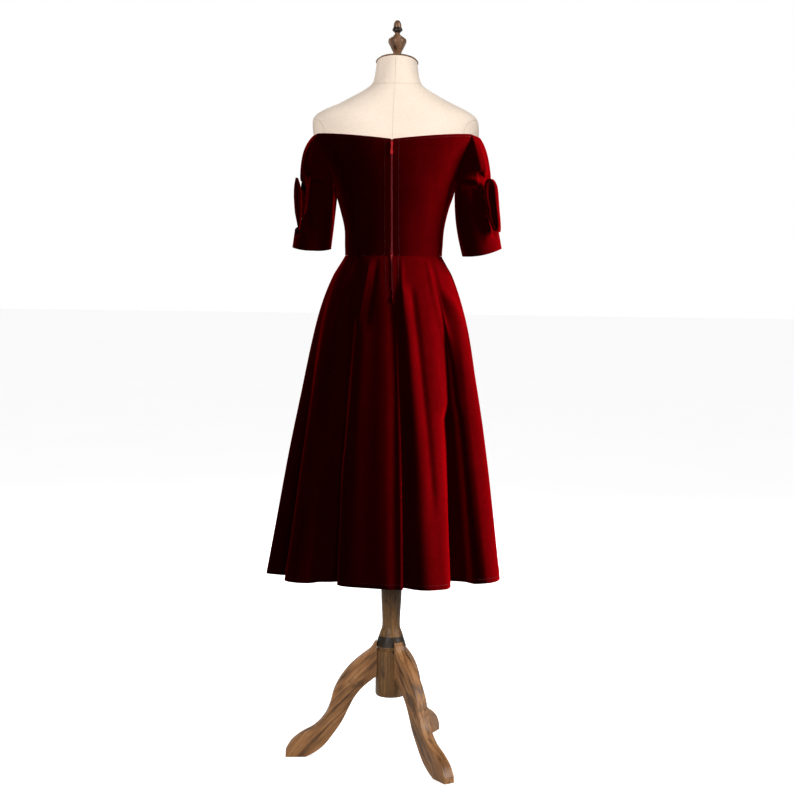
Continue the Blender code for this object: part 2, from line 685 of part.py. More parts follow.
def sleeve_outward(sleeve, turn, down):
    """The outward direction of the sleeve's cloth."""
    step = 0.004
    around = sleeve_point(sleeve, (turn + step) % 1.0, down) - sleeve_point(sleeve, (turn - step) % 1.0, down)
    low, high = max(0.0, down - step), min(1.0, down + step)
    along = sleeve_point(sleeve, turn, high) - sleeve_point(sleeve, turn, low)
    return (around.cross(along) * -sleeve[1]).normalized()


def make_sleeve(sleeve, material):
    """A sleeve: a tube from the armhole and the neck edge down to the cuff."""
    inner, outer = [], []
    for row in range(SLEEVE_ROWS):
        down = (row / (SLEEVE_ROWS - 1)) ** SLEEVE_ROW_SPREAD
        turns = [column / SLEEVE_COLUMNS for column in range(SLEEVE_COLUMNS)]
        line = [sleeve_point(sleeve, turn, down) for turn in turns]
        inner.append(line)
        outer.append([p + sleeve_outward(sleeve, turn, down) * WALL for p, turn in zip(line, turns)])
    return cloth_wall("sleeve_" + sleeve[0], inner, outer, material, closed=True)


def bow_point(sleeve, turn, up, offset):
    """A point on a bow's band: a share along the folded band, and -1 to 1 up its height."""
    _, side, *_, lean, bow_reach = sleeve
    along, out = -math.cos(math.tau * turn), math.sin(math.tau * turn)
    far = abs(along)
    full = soft_step(far / BOW_FULL)
    thick = blend(BOW_LOW_THICK, 1.0, soft_step((up + 1) / BOW_LOW_SPAN))
    thick = BOW_PINCH_THICK + (BOW_BULGE * thick) * far ** BOW_BULGE_GROWTH
    loop = BOW_LOOP * (1 - BOW_TAPER * up * up)
    shape = Vector((side * out * thick, along * loop, 0.0))
    step = 0.01
    ahead_along, ahead_out = -math.cos(math.tau * (turn + step)), math.sin(math.tau * (turn + step))
    ahead = Vector((side * ahead_out * thick, ahead_along * loop, 0.0))
    outward = Vector(((ahead - shape).y, -(ahead - shape).x, 0.0)).normalized() * side
    half_height = blend(BOW_PINCH_HEIGHT, BOW_HALF_HEIGHT, full)
    reach = bow_reach - BOW_WRAP * far ** 2 - lean * up * half_height
    place = Vector((side * reach, SLEEVE_MIDDLE, BOW_HEIGHT))
    return place + shape + outward * offset + Vector((0.0, 0.0, up * half_height))


def make_bow(sleeve, material):
    """A bow: one wide band folded flat into a ring and pinched in the middle."""
    inner, outer = [], []
    for row in range(BOW_ROWS):
        up = -1 + 2 * row / (BOW_ROWS - 1)
        turns = [column / BOW_COLUMNS for column in range(BOW_COLUMNS)]
        inner.append([bow_point(sleeve, turn, up, -WALL) for turn in turns])
        outer.append([bow_point(sleeve, turn, up, 0.0) for turn in turns])
    return cloth_wall("bow_" + sleeve[0], inner, outer, material, closed=True)


def make_knot(sleeve, material):
    """The short band round the middle of a bow."""
    _, side, *_, lean, bow_reach = sleeve
    quarter = BOW_COLUMNS // 4
    near, far = (bow_point(sleeve, (3 * quarter + k) / BOW_COLUMNS, 1.0, 0.0) for k in (0, 1))
    inner, outer = [], []
    for along in (-1.0, 0.0, 1.0):
        share = KNOT_HALF_LENGTH * abs(along) / abs(far.y - near.y)
        tall = blend(near.z, far.z, share) - BOW_HEIGHT
        half = bow_reach - lean * tall - blend(side * near.x, side * far.x, share)
        grow = KNOT_WALL + KNOT_SWELL * (1 - along * along)
        for grid, gap in ((inner, KNOT_GAP), (outer, KNOT_GAP + grow)):
            line = []
            for x, z, rounding in KNOT_SECTION:
                rounding = rounding if gap > KNOT_GAP else 1.0
                rise = z * (tall + gap) * rounding
                reach = bow_reach - lean * rise + x * (half + gap) * rounding
                line.append(Vector((side * reach, SLEEVE_MIDDLE + along * KNOT_HALF_LENGTH,
                                    BOW_HEIGHT + rise)))
            grid.append(line)
    return cloth_wall("bow_knot_" + sleeve[0], inner, outer, material, closed=True)


def back_seam_frame(height):
    """The centre back seam: a point on the cloth's outer face, its sideways and outward ways."""
    if height >= WAIST:
        point = form_back_at(0.0, height, FORM_GAP + WALL)
        return point, Vector((1.0, 0.0, 0.0)), Vector((0.0, 1.0, 0.0))
    ring = fold_ring(height)
    k = BACK_SEAM * FOLD_STEPS
    sideways = (ring[k - 1] - ring[k + 1]).normalized()
    return ring[k], sideways, plan_normal(ring[k - 1], ring[k + 1])


def make_zip_tape(material):
    """The zip's strip, in the gap between the two backs, from the neckline into the skirt."""
    inner, outer = [], []
    for row in range(ZIP_ROWS):
        height = blend(ZIP_END, NECK_CENTRE_BACK - ZIP_TOP_DROP, row / (ZIP_ROWS - 1))
        point, sideways, outward = back_seam_frame(height)
        half = zip_half_gap(height) - SEAM_GAP if height > ZIP_END + ZIP_END_BLOCK else ZIP_HALF_WIDTH
        low = point - outward * WALL
        inner.append([low - sideways * half, low + sideways * half])
        outer.append([p + outward * ZIP_THICK for p in inner[-1]])
    return cloth_wall("zip_tape", inner, outer, material)


def outline_curve(name, outlines, thick, material, cutter=False):
    """A flat piece: closed outlines filled and extruded to a thickness, made a mesh and welded."""
    curve = bpy.data.curves.new(name, "CURVE")
    curve.dimensions = "2D"
    curve.fill_mode = "BOTH"
    curve.extrude = thick / 2
    for outline in outlines:
        spline = curve.splines.new("POLY")
        spline.points.add(len(outline) - 1)
        for point, (x, y) in zip(spline.points, outline):
            point.co = (x, y, 0.0, 1.0)
        spline.use_cyclic_u = True
    draft = bpy.data.objects.new(name + "_outline", curve)
    COLLECTIONS["cutters"].objects.link(draft)
    bpy.context.view_layer.update()
    mesh = bpy.data.meshes.new_from_object(draft.evaluated_get(bpy.context.evaluated_depsgraph_get()))
    bpy.data.objects.remove(draft, do_unlink=True)
    work = bmesh.new()
    work.from_mesh(mesh)
    bmesh.ops.remove_doubles(work, verts=work.verts, dist=0.00001)
    bmesh.ops.recalc_face_normals(work, faces=work.faces)
    work.to_mesh(mesh)
    work.free()
    mesh.materials.clear()
    return add_object(name, mesh, material, cutter)


def smooth_line(points, steps):
    """More points on a smooth line through a short list."""
    line = []
    for k in range(len(points) - 1):
        near = [points[min(max(k + offset, 0), len(points) - 1)] for offset in (-1, 0, 1, 2)]
        for step in range(steps):
            line.append(tuple(curve_value([p[i] for p in near], step / steps) for i in (0, 1)))
    return line + [points[-1]]


def add_boolean(item, cutter, operation):
    """A Boolean modifier with the exact solver."""
    modifier = item.modifiers.new(operation.lower(), "BOOLEAN")
    modifier.operation = operation
    modifier.object = cutter
    modifier.solver = "EXACT"
    modifier.use_self = True


def make_leg(number, angle, cutter, material):
    """A leg: an S-curved board, its end hollowed to sit round the hub."""
    outline = smooth_line(LEG_UPPER[:-1], LEG_STEPS) + [LEG_UPPER[-1]] + smooth_line(LEG_LOWER, LEG_STEPS)
    leg = outline_curve("leg_%d" % number, [outline], LEG_THICK, material)
    leg.rotation_euler = (math.radians(90), 0.0, math.radians(angle))
    rounding = leg.modifiers.new("rounded edges", "BEVEL")
    rounding.width = LEG_ROUNDING
    rounding.segments = 1
    rounding.limit_method = "ANGLE"
    rounding.angle_limit = math.radians(60)
    add_boolean(leg, cutter, "DIFFERENCE")
    return leg


def cylinder(name, radius, low, high, steps, middle=0.0):
    """A plain upright cylinder as a cutter."""
    work = bmesh.new()
    bmesh.ops.create_cone(work, cap_ends=True, segments=steps, radius1=radius, radius2=radius, depth=high - low)
    mesh = bpy.data.meshes.new(name)
    work.to_mesh(mesh)
    work.free()
    item = add_object(name, mesh, None, cutter=True)
    item.location = (0.0, middle, (low + high) / 2)
    return item


def make_stand(wood, dark_wood):
    """The column, the hub and its three legs, the neck cap and the finial."""
    turned("column", COLUMN_PROFILE, wood)
    turned("hub", HUB_PROFILE, wood)
    hollow = cylinder("hub_hollow", HUB_RADIUS + SEAM_GAP, HUB_BOTTOM - HOLLOW_SPARE, HUB_TOP + HOLLOW_SPARE,
                      2 * TURNED_STEPS)
    for number, angle in enumerate(LEG_ANGLES, start=1):
        make_leg(number, angle, hollow, wood)
    cap = turned("neck_cap", CAP_PROFILE, dark_wood)
    cap.location = (0.0, NECK_MIDDLE, NECK_TOP)
    cap.rotation_euler = (math.atan(NECK_SLOPE), 0.0, 0.0)
    boss_low = NECK_TOP + BOSS_FOOT * BOSS_SINK
    boss = cylinder("neck_boss", BOSS_RADIUS, boss_low, BOSS_TOP, TURNED_STEPS, NECK_MIDDLE)
    add_boolean(cap, boss, "UNION")
    turned("finial", FINIAL_PROFILE, dark_wood, middle=NECK_MIDDLE, steps=FINIAL_STEPS)


def cloth_depth(heights):
    """How far back the bodice's outer face reaches on the centre line, over some heights."""
    return max(form_back_at(0.0, height, FORM_GAP + WALL).y for height in heights)


def make_slider(hinge, material):
    """The slider: a plate over the zip with a bridge that holds the pull tab's eye."""
    low = hinge.z - SLIDER_HEIGHT * SLIDER_BELOW_HINGE
    high = low + SLIDER_HEIGHT
    back = cloth_depth((low, high)) + SEAM_GAP
    front = back + SLIDER_PLATE
    bar = PULL_THICK / 2 + PULL_CLEAR
    bridge_out = hinge.y + bar + BRIDGE_WALL
    half = BRIDGE_HALF_LENGTH
    foot, shoulder = front - BRIDGE_FOOT, hinge.y + bar * BRIDGE_SHOULDER
    bridge = [(foot, hinge.z - half), (shoulder, hinge.z - half), (bridge_out, hinge.z - half / 2),
              (bridge_out, hinge.z + half / 2), (shoulder, hinge.z + half), (foot, hinge.z + half)]
    inside = half - BRIDGE_WALL
    hole = [(hinge.y - bar, hinge.z - inside), (hinge.y + bar, hinge.z - inside),
            (hinge.y + bar, hinge.z + inside), (hinge.y - bar, hinge.z + inside)]
    plate = [(back, low), (front, low + SLIDER_EDGE), (front, high - SLIDER_EDGE), (back, high)]
    upright = (math.radians(90), 0.0, math.radians(90))
    slider = outline_curve("zip_slider", [plate], 2 * SLIDER_HALF_WIDTH, material)
    arch = outline_curve("slider_bridge", [bridge, hole], 2 * BRIDGE_HALF_WIDTH, None, cutter=True)
    for item in (slider, arch):
        item.rotation_euler = upright
    add_boolean(slider, arch, "UNION")
    return slider


def make_pull(hinge, material):
    """The pull tab: a flat drop with an eye, its origin on the hinge line through the eye's bar."""
    bar = PULL_THICK / 2
    eye_half = BRIDGE_HALF_WIDTH + PULL_CLEAR
    side = eye_half + PULL_EYE_WALL
    drop = [(side, bar), (side, -PULL_EYE_DROP)] + [(x, -down) for x, down in PULL_EDGE]
    outline = drop + [(0.0, -PULL_LENGTH)] + [(-x, y) for x, y in reversed(drop)]
    eye = [(eye_half, -bar), (-eye_half, -bar), (-eye_half, -PULL_EYE_DROP), (eye_half, -PULL_EYE_DROP)]
    pull = outline_curve("zip_pull", [outline, eye], PULL_THICK, material)
    pull.location = hinge
    pull.rotation_euler = (math.radians(90), 0.0, 0.0)
    return pull


def make_zip(tape, metal):
    """The zip: its strip, its slider and the pull tab."""
    make_zip_tape(tape)
    cloth = cloth_depth((HINGE_HEIGHT - PULL_LENGTH, HINGE_HEIGHT))
    hinge_depth = cloth + SEAM_GAP + SLIDER_PLATE + PULL_CLEAR + PULL_THICK / 2
    hinge = Vector((0.0, hinge_depth, HINGE_HEIGHT))
    make_slider(hinge, metal)
    make_pull(hinge, metal)


start_empty_scene()
STAND_AXIS = bpy.data.objects.new("stand_axis", None)
STAND_AXIS.location = (AXIS_X, AXIS_Y, 0.0)
COLLECTIONS[OBJECT_NAME].objects.link(STAND_AXIS)

velvet = principled("wine velvet", (0.14, 0.004, 0.008), 0.85)
tape_cloth = principled("red zip tape", (0.35, 0.01, 0.02), 0.6)
red_metal = principled("red lacquered zip metal", (0.42, 0.02, 0.03), 0.35)
calico = principled("cream cloth", (0.80, 0.70, 0.58), 0.9)
oak = principled("brown wood", (0.20, 0.09, 0.035), 0.5)
dark_oak = principled("dark wood", (0.06, 0.03, 0.015), 0.4)

make_torso(calico)
make_bodice("bodice_front", -1, -1.0, 1.0, BODICE_FRONT_COLUMNS, velvet)
make_bodice("bodice_back_left", 1, 0.0, 1.0, BODICE_BACK_COLUMNS, velvet)
make_bodice("bodice_back_right", 1, -1.0, 0.0, BODICE_BACK_COLUMNS, velvet)
make_skirt_panel("skirt_back_left", LEFT_SEAM, BACK_SEAM, velvet)
make_skirt_panel("skirt_back_right", BACK_SEAM, RIGHT_SEAM, velvet)
make_skirt_panel("skirt_front", RIGHT_SEAM, LEFT_SEAM + len(SKIRT_FOLDS), velvet)
for sleeve_row in SLEEVES:
    make_sleeve(sleeve_row, velvet)
    make_bow(sleeve_row, velvet)
    make_knot(sleeve_row, velvet)
make_zip(tape_cloth, red_metal)
make_stand(oak, dark_oak)
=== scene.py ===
"""The looks of an off-the-shoulder velvet dress on its dress form.

Metres, +Z up. The back of the dress faces +Y and the wearer's left is +X. Each cloth piece is a
thin wall on its solid's form, with the creases of the real one, and is worked out round the
stand's axis as the solids are.
"""
import json
import math

import bmesh
import bpy
from mathutils import Matrix, Vector

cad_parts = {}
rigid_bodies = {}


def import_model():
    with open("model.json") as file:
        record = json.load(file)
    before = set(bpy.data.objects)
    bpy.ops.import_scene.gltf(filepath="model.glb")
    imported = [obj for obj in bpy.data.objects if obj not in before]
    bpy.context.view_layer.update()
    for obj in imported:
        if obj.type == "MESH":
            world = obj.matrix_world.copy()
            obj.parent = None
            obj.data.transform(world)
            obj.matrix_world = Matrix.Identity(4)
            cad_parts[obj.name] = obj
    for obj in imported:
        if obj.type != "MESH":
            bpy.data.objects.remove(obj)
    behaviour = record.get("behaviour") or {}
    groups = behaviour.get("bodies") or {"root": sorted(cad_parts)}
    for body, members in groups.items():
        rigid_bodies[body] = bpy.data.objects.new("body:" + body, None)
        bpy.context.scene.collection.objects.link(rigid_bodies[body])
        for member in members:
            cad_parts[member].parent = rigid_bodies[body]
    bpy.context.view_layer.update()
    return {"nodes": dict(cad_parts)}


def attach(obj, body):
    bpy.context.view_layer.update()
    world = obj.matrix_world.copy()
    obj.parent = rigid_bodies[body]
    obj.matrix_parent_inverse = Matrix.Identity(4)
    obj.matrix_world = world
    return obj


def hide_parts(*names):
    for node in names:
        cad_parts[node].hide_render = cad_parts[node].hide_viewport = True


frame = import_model()
BODY = "dress_and_form"

# Where the stand's axis lies, so that the part's outline is centred on the origin
AXIS_X = -0.0216
AXIS_Y = 0.016

# Cloth: how thick the wall is, how far it lies off the form, and the gap at seams
WALL = 0.0018
FORM_GAP = 0.0022
ARMHOLE_EASE = 0.0015
SEAM_GAP = 0.0003

# Heights of the dress above the floor
HEM = 0.45
WAIST = 1.216
UNDERARM = 1.374
NECK_CENTRE_BACK = 1.4835
NECK_CORNER_BACK = 1.499
NECK_CENTRE_FRONT = 1.46
NECK_CORNER_FRONT = 1.493
NECK_OUTER = 1.488

# The armhole seam: its angle round the form where it meets the neckline
CORNER_ANGLE = math.radians(27.0)
SIDE_SEAM_ANGLE = math.radians(0.5)
ARMHOLE_TURN = 0.42
ARMHOLE_RISE = 1.7
NECKLINE_CURVE = 1.8
# The share of a bodice panel's rows that lie below the underarm
UNDERARM_SHARE = 0.56

# The zip in the centre back seam
ZIP_END = 1.11
ZIP_HALF_WIDTH = 0.0019
ZIP_THICK = 0.0015
# The gap opens slightly just above the waist, and closes to a plain seam at the zip's end
ZIP_GAPE = 0.0008
ZIP_GAPE_LENGTH = 0.016
ZIP_GAPE_RISE = 0.004
ZIP_CLOSE_RISE = 0.004
ZIP_CLOSE_LENGTH = 0.012

# The form, a row for each section: height, reach to the wearer's left and right, where its widest
# line lies in depth, reach to the back and front from there, roundness (2 is an ellipse)
FORM_SECTIONS = (
    (0.872, 0.13, 0.13, 0.0, 0.095, 0.085, 2.1),
    (0.88, 0.15, 0.15, 0.0, 0.11, 0.097, 2.15),
    (0.9, 0.16, 0.16, 0.0, 0.118, 0.103, 2.2),
    (0.96, 0.164, 0.164, 0.0, 0.122, 0.106, 2.25),
    (1.01, 0.1635, 0.163, 0.0, 0.121, 0.105, 2.25),
    (1.06, 0.1565, 0.1545, 0.0, 0.115, 0.102, 2.25),
    (1.11, 0.141, 0.137, 0.0, 0.103, 0.097, 2.25),
    (1.16, 0.123, 0.118, 0.0, 0.0905, 0.092, 2.25),
    (1.213, 0.1136, 0.1072, 0.0, 0.083, 0.088, 2.25),
    (1.24, 0.1138, 0.108, 0.0, 0.085, 0.093, 2.25),
    (1.28, 0.115, 0.111, 0.0, 0.09, 0.103, 2.28),
    (1.324, 0.1254, 0.1205, 0.0, 0.096, 0.116, 2.3),
    (1.358, 0.135, 0.1318, 0.0, 0.101, 0.125, 2.3),
    (1.378, 0.1392, 0.1372, 0.0, 0.104, 0.128, 2.28),
    (1.4, 0.147, 0.1462, 0.0, 0.1065, 0.1275, 2.22),
    (1.43, 0.163, 0.163, 0.0, 0.109, 0.12, 2.15),
    (1.46, 0.181, 0.181, 0.0, 0.1095, 0.107, 2.1),
    (1.49, 0.194, 0.194, 0.0, 0.107, 0.093, 2.1),
    (1.52, 0.1985, 0.195, -0.002, 0.101, 0.079, 2.1),
    (1.54, 0.1965, 0.189, -0.004, 0.0955, 0.069, 2.05),
    (1.5555, 0.1795, 0.17, -0.005, 0.09, 0.0625, 2.0),
    (1.575, 0.135, 0.131, -0.006, 0.082, 0.0585, 1.95),
    (1.59, 0.106, 0.103, -0.007, 0.075, 0.057, 1.95),
    (1.603, 0.082, 0.081, -0.008, 0.069, 0.056, 1.95),
    (1.612, 0.067, 0.067, -0.008, 0.063, 0.055, 2.0),
    (1.62, 0.0585, 0.0585, -0.008, 0.0575, 0.0535, 2.0),
    (1.633, 0.0535, 0.0535, -0.008, 0.0525, 0.051, 2.0),
    (1.65, 0.0505, 0.0505, -0.008, 0.049, 0.0485, 2.0),
    (1.669, 0.048, 0.048, -0.008, 0.046, 0.046, 2.0),
)
# The neck's top slopes down to the front; the slope fades out towards the shoulders
NECK_SLOPE = 0.3
NECK_SLOPE_START = 1.6
NECK_TOP = FORM_SECTIONS[-1][0]
NECK_MIDDLE = FORM_SECTIONS[-1][3]
NECK_RADIUS = FORM_SECTIONS[-1][1]

# The skirt's outline, a row for each section: height, reach to the wearer's left, right,
# back and front, roundness
SKIRT_SECTIONS = (
    (0.45, 0.3055, 0.2675, 0.203, 0.214, 2.0),
    (0.61, 0.276, 0.243, 0.192, 0.202, 2.0),
    (0.75, 0.2505, 0.2235, 0.18, 0.189, 2.0),
    (0.885, 0.2228, 0.2037, 0.165, 0.172, 2.0),
    (1.02, 0.1949, 0.1815, 0.146, 0.151, 2.0),
    (1.1, 0.1738, 0.1622, 0.131, 0.136, 2.02),
    (1.166, 0.1476, 0.1398, 0.112, 0.117, 2.1),
    (1.2, 0.127, 0.1205, 0.0965, 0.101, 2.22),
    (1.216, 0.1176, 0.1112, 0.087, 0.092, 2.25),
)

# The skirt's folds all round, a row for each ridge and hollow: name, angle at the waist, angle at
# the hem (0 is the wearer's left, 90 the back), and how much of the outline's reach the hem has
SKIRT_FOLDS = (
    ("left side seam", -6.0, -2.0, 0.86),
    ("left side fold", 6.0, 10.5, 1.0),
    ("left side hollow", 18.0, 23.0, 0.81),
    ("left fold", 30.0, 36.5, 0.99),
    ("left fold belly", 44.0, 49.0, 0.94),
    ("left hollow", 54.0, 56.5, 0.68),
    ("left back fold edge", 61.0, 64.5, 0.85),
    ("left back fold face", 72.0, 75.0, 0.89),
    ("left back fold belly", 82.0, 87.0, 0.92),
    ("centre back seam", 90.0, 98.6, 0.96),
    ("centre back hollow", 94.0, 101.0, 0.85),
    ("right back fold side", 97.5, 107.0, 0.955),
    ("right back fold", 102.0, 117.0, 1.0),
    ("right back fold edge", 121.0, 127.0, 0.95),
    ("right hollow", 131.0, 145.0, 0.64),
    ("right fold side", 136.0, 145.5, 0.88),
    ("right fold", 143.0, 153.0, 0.95),
    ("right fold edge", 157.0, 169.0, 0.975),
    ("right side seam", 170.0, 178.0, 0.86),
    ("right side fold", 184.0, 196.0, 1.0),
    ("right front hollow", 199.0, 212.0, 0.74),
    ("right front fold", 212.0, 224.0, 0.97),
    ("right front fold face", 226.0, 237.0, 0.93),
    ("front hollow on the right", 238.0, 248.0, 0.71),
    ("front fold edge", 247.0, 255.0, 0.91),
    ("front fold", 262.0, 266.0, 0.98),
    ("front fold belly", 277.0, 280.0, 0.94),
    ("front hollow on the left", 287.0, 290.0, 0.73),
    ("left front fold", 299.0, 303.0, 0.97),
    ("left front fold face", 314.0, 318.0, 0.93),
    ("left front hollow", 328.0, 332.0, 0.74),
    ("left side front fold", 341.0, 345.0, 0.97),
)
FOLD_NAMES = tuple(row[0] for row in SKIRT_FOLDS)
LEFT_SEAM = FOLD_NAMES.index("left side seam")
BACK_SEAM = FOLD_NAMES.index("centre back seam")
RIGHT_SEAM = FOLD_NAMES.index("right side seam")
SKIRT_ROW_SPREAD = 1.25
FOLD_GROWTH = 1.1
FOLD_TURN = 2.4

# The sleeves, a row for each: name, side (+1 is the wearer's left), the cuff's inner and outer
# reach from the axis, its inner and outer height, how far the sleeve head puffs out, how far the
# inner side bows towards the bodice, how far the bow leans out, and how far out its middle lies
SLEEVES = (
    ("left", 1, 0.152, 0.2465, 1.231, 1.2345, 0.015, 0.002, 0.06, 0.229),
    ("right", -1, 0.1585, 0.2545, 1.2165, 1.236, 0.0092, 0.007, 0.11, 0.2335),
)
SLEEVE_MIDDLE = -0.004
CUFF_HALF_DEPTH = 0.054
CORNER_SHARE = 0.34
PUFF_PEAK = 0.2
CUFF_SAG = 0.006
PINCH = 0.011
PINCH_AT = 0.56
PINCH_LENGTH = 0.13
# The creases fade towards the sleeve's inner and outer sides, and towards each crease's ends
CREASE_SIDE = 0.15
CREASE_SIDE_FADE = 0.5
CREASE_END_FADE = 0.6
CREASE_TOP_FADE = 0.08

# Creases on each sleeve, seen from the back and again on the front: name, reach and height of the
# one end, reach and height of the other, half width, and how far the cloth stands out there
SLEEVE_CREASES = (
    ("pleat from the neck edge", 0.178, 1.492, 0.203, 1.396, 0.0065, 0.006),
    ("hollow by the armhole", 0.169, 1.47, 0.158, 1.4, 0.009, -0.005),
    ("overhang above the tuck", 0.162, 1.396, 0.204, 1.392, 0.006, 0.005),
    ("tuck at the bow's height", 0.16, 1.384, 0.206, 1.382, 0.0045, -0.005),
    ("ridge below the bow", 0.215, 1.345, 0.222, 1.275, 0.008, 0.004),
)

# The bows: how long each loop is, how high and thick, and the middle held by the knot
BOW_HEIGHT = 1.336
BOW_LOOP = 0.08
BOW_HALF_HEIGHT = 0.06
BOW_PINCH_HEIGHT = 0.016
BOW_PINCH_THICK = 0.0022
BOW_BULGE = 0.023
BOW_BULGE_GROWTH = 1.4
BOW_FULL = 0.8
BOW_TAPER = 0.16
BOW_WRAP = 0.012
BOW_CLEAR = 0.0017
BOW_FOOT = 0.03
# Where the bow stops pressing the sleeve in: above and below it, and past the loops' ends
PRESS_LEAD = 0.15
PRESS_EDGE = 0.012
PRESS_EDGE_FADE = 0.03
PRESS_END = 0.85
PRESS_FREE = 0.05
KNOT_HOLLOW_LENGTH = 0.022
KNOT_HOLLOW_HEIGHT = 0.06
KNOT_DEPTH = 0.0051
KNOT_HALF_LENGTH = 0.012

# The stand
COLUMN_TOP = FORM_SECTIONS[0][0] - SEAM_GAP
COLUMN_PROFILE = (
    (0.021, COLUMN_TOP), (0.0235, 0.62), (0.025, 0.48), (0.0248, 0.409), (0.0222, 0.355),
    (0.0214, 0.333), (0.0222, 0.318), (0.0268, 0.305), (0.0335, 0.284), (0.0368, 0.2725),
)
HUB_RADIUS = 0.0368
HUB_TOP = 0.2722
HUB_BOTTOM = 0.1515
HUB_PROFILE = (
    (0.033, HUB_TOP), (0.033, 0.2655), (HUB_RADIUS, 0.2635),
    (HUB_RADIUS, 0.156), (0.0345, HUB_BOTTOM),
)
LEG_THICK = 0.026
LEG_ROUNDING = 0.0045
# The slope of the grain in a leg's board, and how far apart the boards lay in the log
GRAIN_SLOPE = math.radians(-46)
GRAIN_SHIFT = 0.37
LEG_ANGLES = (7.8, 127.8, 247.8)
# A leg's outline, reach from the axis and height: its upper edge outwards, its lower edge inwards
LEG_UPPER = (
    (0.03, 0.288), (0.039, 0.28), (0.048, 0.266), (0.0616, 0.2553), (0.0821, 0.239), (0.1039, 0.2177),
    (0.1241, 0.1902), (0.1376, 0.1627), (0.1471, 0.1278), (0.1601, 0.1002), (0.1833, 0.0751),
    (0.2165, 0.056), (0.2398, 0.037), (0.254, 0.0144), (0.2545, 0.0),
)
LEG_LOWER = (
    (0.2061, 0.0), (0.183, 0.012), (0.1596, 0.0311), (0.1368, 0.0605), (0.1168, 0.0907),
    (0.1019, 0.1217), (0.0872, 0.1493), (0.0674, 0.1733), (0.0379, 0.1972), (0.03, 0.1985),
)

# The neck cap and the finial
CAP_RADIUS = NECK_RADIUS + 0.001
CAP_THICK = 0.0055
BOSS_RADIUS = 0.013
BOSS_FOOT = 0.0115
BOSS_TOP = 1.6865
# The cap's profile, radius and height above the neck's top: the boss's foot, the slope, the rim
CAP_PROFILE = (
    (0.0002, BOSS_FOOT), (BOSS_RADIUS, BOSS_FOOT), (BOSS_RADIUS + 0.004, CAP_THICK + 0.002),
    (BOSS_RADIUS * 1.7, CAP_THICK), (CAP_RADIUS * 0.72, CAP_THICK), (CAP_RADIUS, CAP_THICK * 0.62),
    (CAP_RADIUS + 0.0012, CAP_THICK * 0.3), (CAP_RADIUS, SEAM_GAP), (0.0002, SEAM_GAP),
)
FINIAL_PROFILE = (
    (0.0005, 1.7688),
    (0.004, 1.768), (0.0072, 1.764), (0.0088, 1.759), (0.0094, 1.7535), (0.0098, 1.7512),
    (0.0116, 1.7485), (0.0114, 1.7445), (0.0072, 1.7405), (0.006, 1.7365), (0.012, 1.7315),
    (0.0195, 1.726), (0.0218, 1.72), (0.02, 1.714), (0.0155, 1.7048), (0.0114, 1.697),
    (0.0096, 1.6925), (0.01, 1.6895), (0.0118, BOSS_TOP + SEAM_GAP),
)


AXIS = Vector((AXIS_X, AXIS_Y, 0.0))

# How fine the cloth is made
BODICE_GRID = (64, 60)
SKIRT_GRID = (10, 84)
SLEEVE_GRID = (176, 96)
BOW_GRID = (128, 40)
KNOT_GRID = (72, 20)
TORSO_GRID = (120, 130)
LEG_FINE = 6
# How round a free edge is, as a share of the wall, and how far along a fold its seam's step is taken
EDGE_ROUND = 0.42
EDGE_STEP = 0.05
# Where relief fades out: at the bodice's seams, along a crease, below the waist, at the skirt's
# sides, and before and after the ends of a fold's line
SEAM_FADE = 0.04
CREASE_RUN_OUT = 0.75
WAIST_FADE = 0.012
SIDE_FADE = 0.04
PATH_LEAD, PATH_TAIL, PATH_TOP_FADE, PATH_FOOT_FADE = 0.02, 0.05, 0.05, 0.08
# The gathers below the front waist
GATHER_LIFT = 0.0022
GATHER_LENGTH = 0.11

# The rims of the bows' loops as the back view shows them: share of the half height, reach of the
# inner rim and of the outer rim from the stand's axis
BOW_RIMS = {
    "left": ((-1.0, 0.2212, 0.2245), (-0.87, 0.22, 0.2262), (-0.37, 0.2152, 0.2325), (0.0, 0.2152, 0.2345),
             (0.4, 0.2165, 0.2358), (0.75, 0.2205, 0.2348), (1.0, 0.2262, 0.2318)),
    "right": ((-1.0, 0.2355, 0.25), (-0.85, 0.2295, 0.2508), (-0.5, 0.222, 0.2495), (-0.1, 0.2175, 0.247),
              (0.3, 0.2112, 0.245), (0.7, 0.2095, 0.2425), (0.9, 0.212, 0.239), (1.0, 0.2175, 0.233)),
}
LOOP_FULL = 0.85
LOOP_BLUNT = 8
LOOP_DENT = 0.2
LOOP_CREASE = 0.0011
LOOP_CREASE_TURN = 10.5
KNOT_HALF_HEIGHT = 0.0264
KNOT_HALF_THICK = 0.0079
KNOT_CREASE = 0.0004
KNOT_SWELL = 0.0008

# How softly the bow presses the sleeve in, and how far the sleeve fills out again below its middle
PRESS_SOFT = 0.016
PRESS_EASE = {1: 0.029, -1: 0.022}
EASE_START, EASE_FULL, EASE_ASIDE, EASE_ASIDE_FADE = 0.01, 0.05, 0.35, 0.3

# Soft folds on the sleeves besides the solids' own: side (0 is both), reach and height of each end,
# half width, and how far the cloth stands out there
SLEEVE_FOLDS = (
    ("furrow outside the pleat", 0, 0.193, 1.48, 0.216, 1.385, 0.0068, -0.0095),
    ("roll outside the furrow", 0, 0.21, 1.47, 0.23, 1.4, 0.006, 0.004),
    ("edge of the pleat", 0, 0.178, 1.488, 0.205, 1.38, 0.005, 0.005),
    ("roll below the tuck", -1, 0.178, 1.378, 0.206, 1.322, 0.0075, 0.003),
    ("hollow by the underarm", 0, 0.16, 1.4, 0.152, 1.356, 0.008, -0.004),
    ("ridge above the left cuff", 1, 0.206, 1.336, 0.198, 1.262, 0.009, 0.003),
    ("hollow beside it", 1, 0.188, 1.33, 0.18, 1.27, 0.01, -0.002),
    ("hollow above the right cuff", -1, 0.214, 1.3, 0.222, 1.25, 0.009, -0.0022),
)

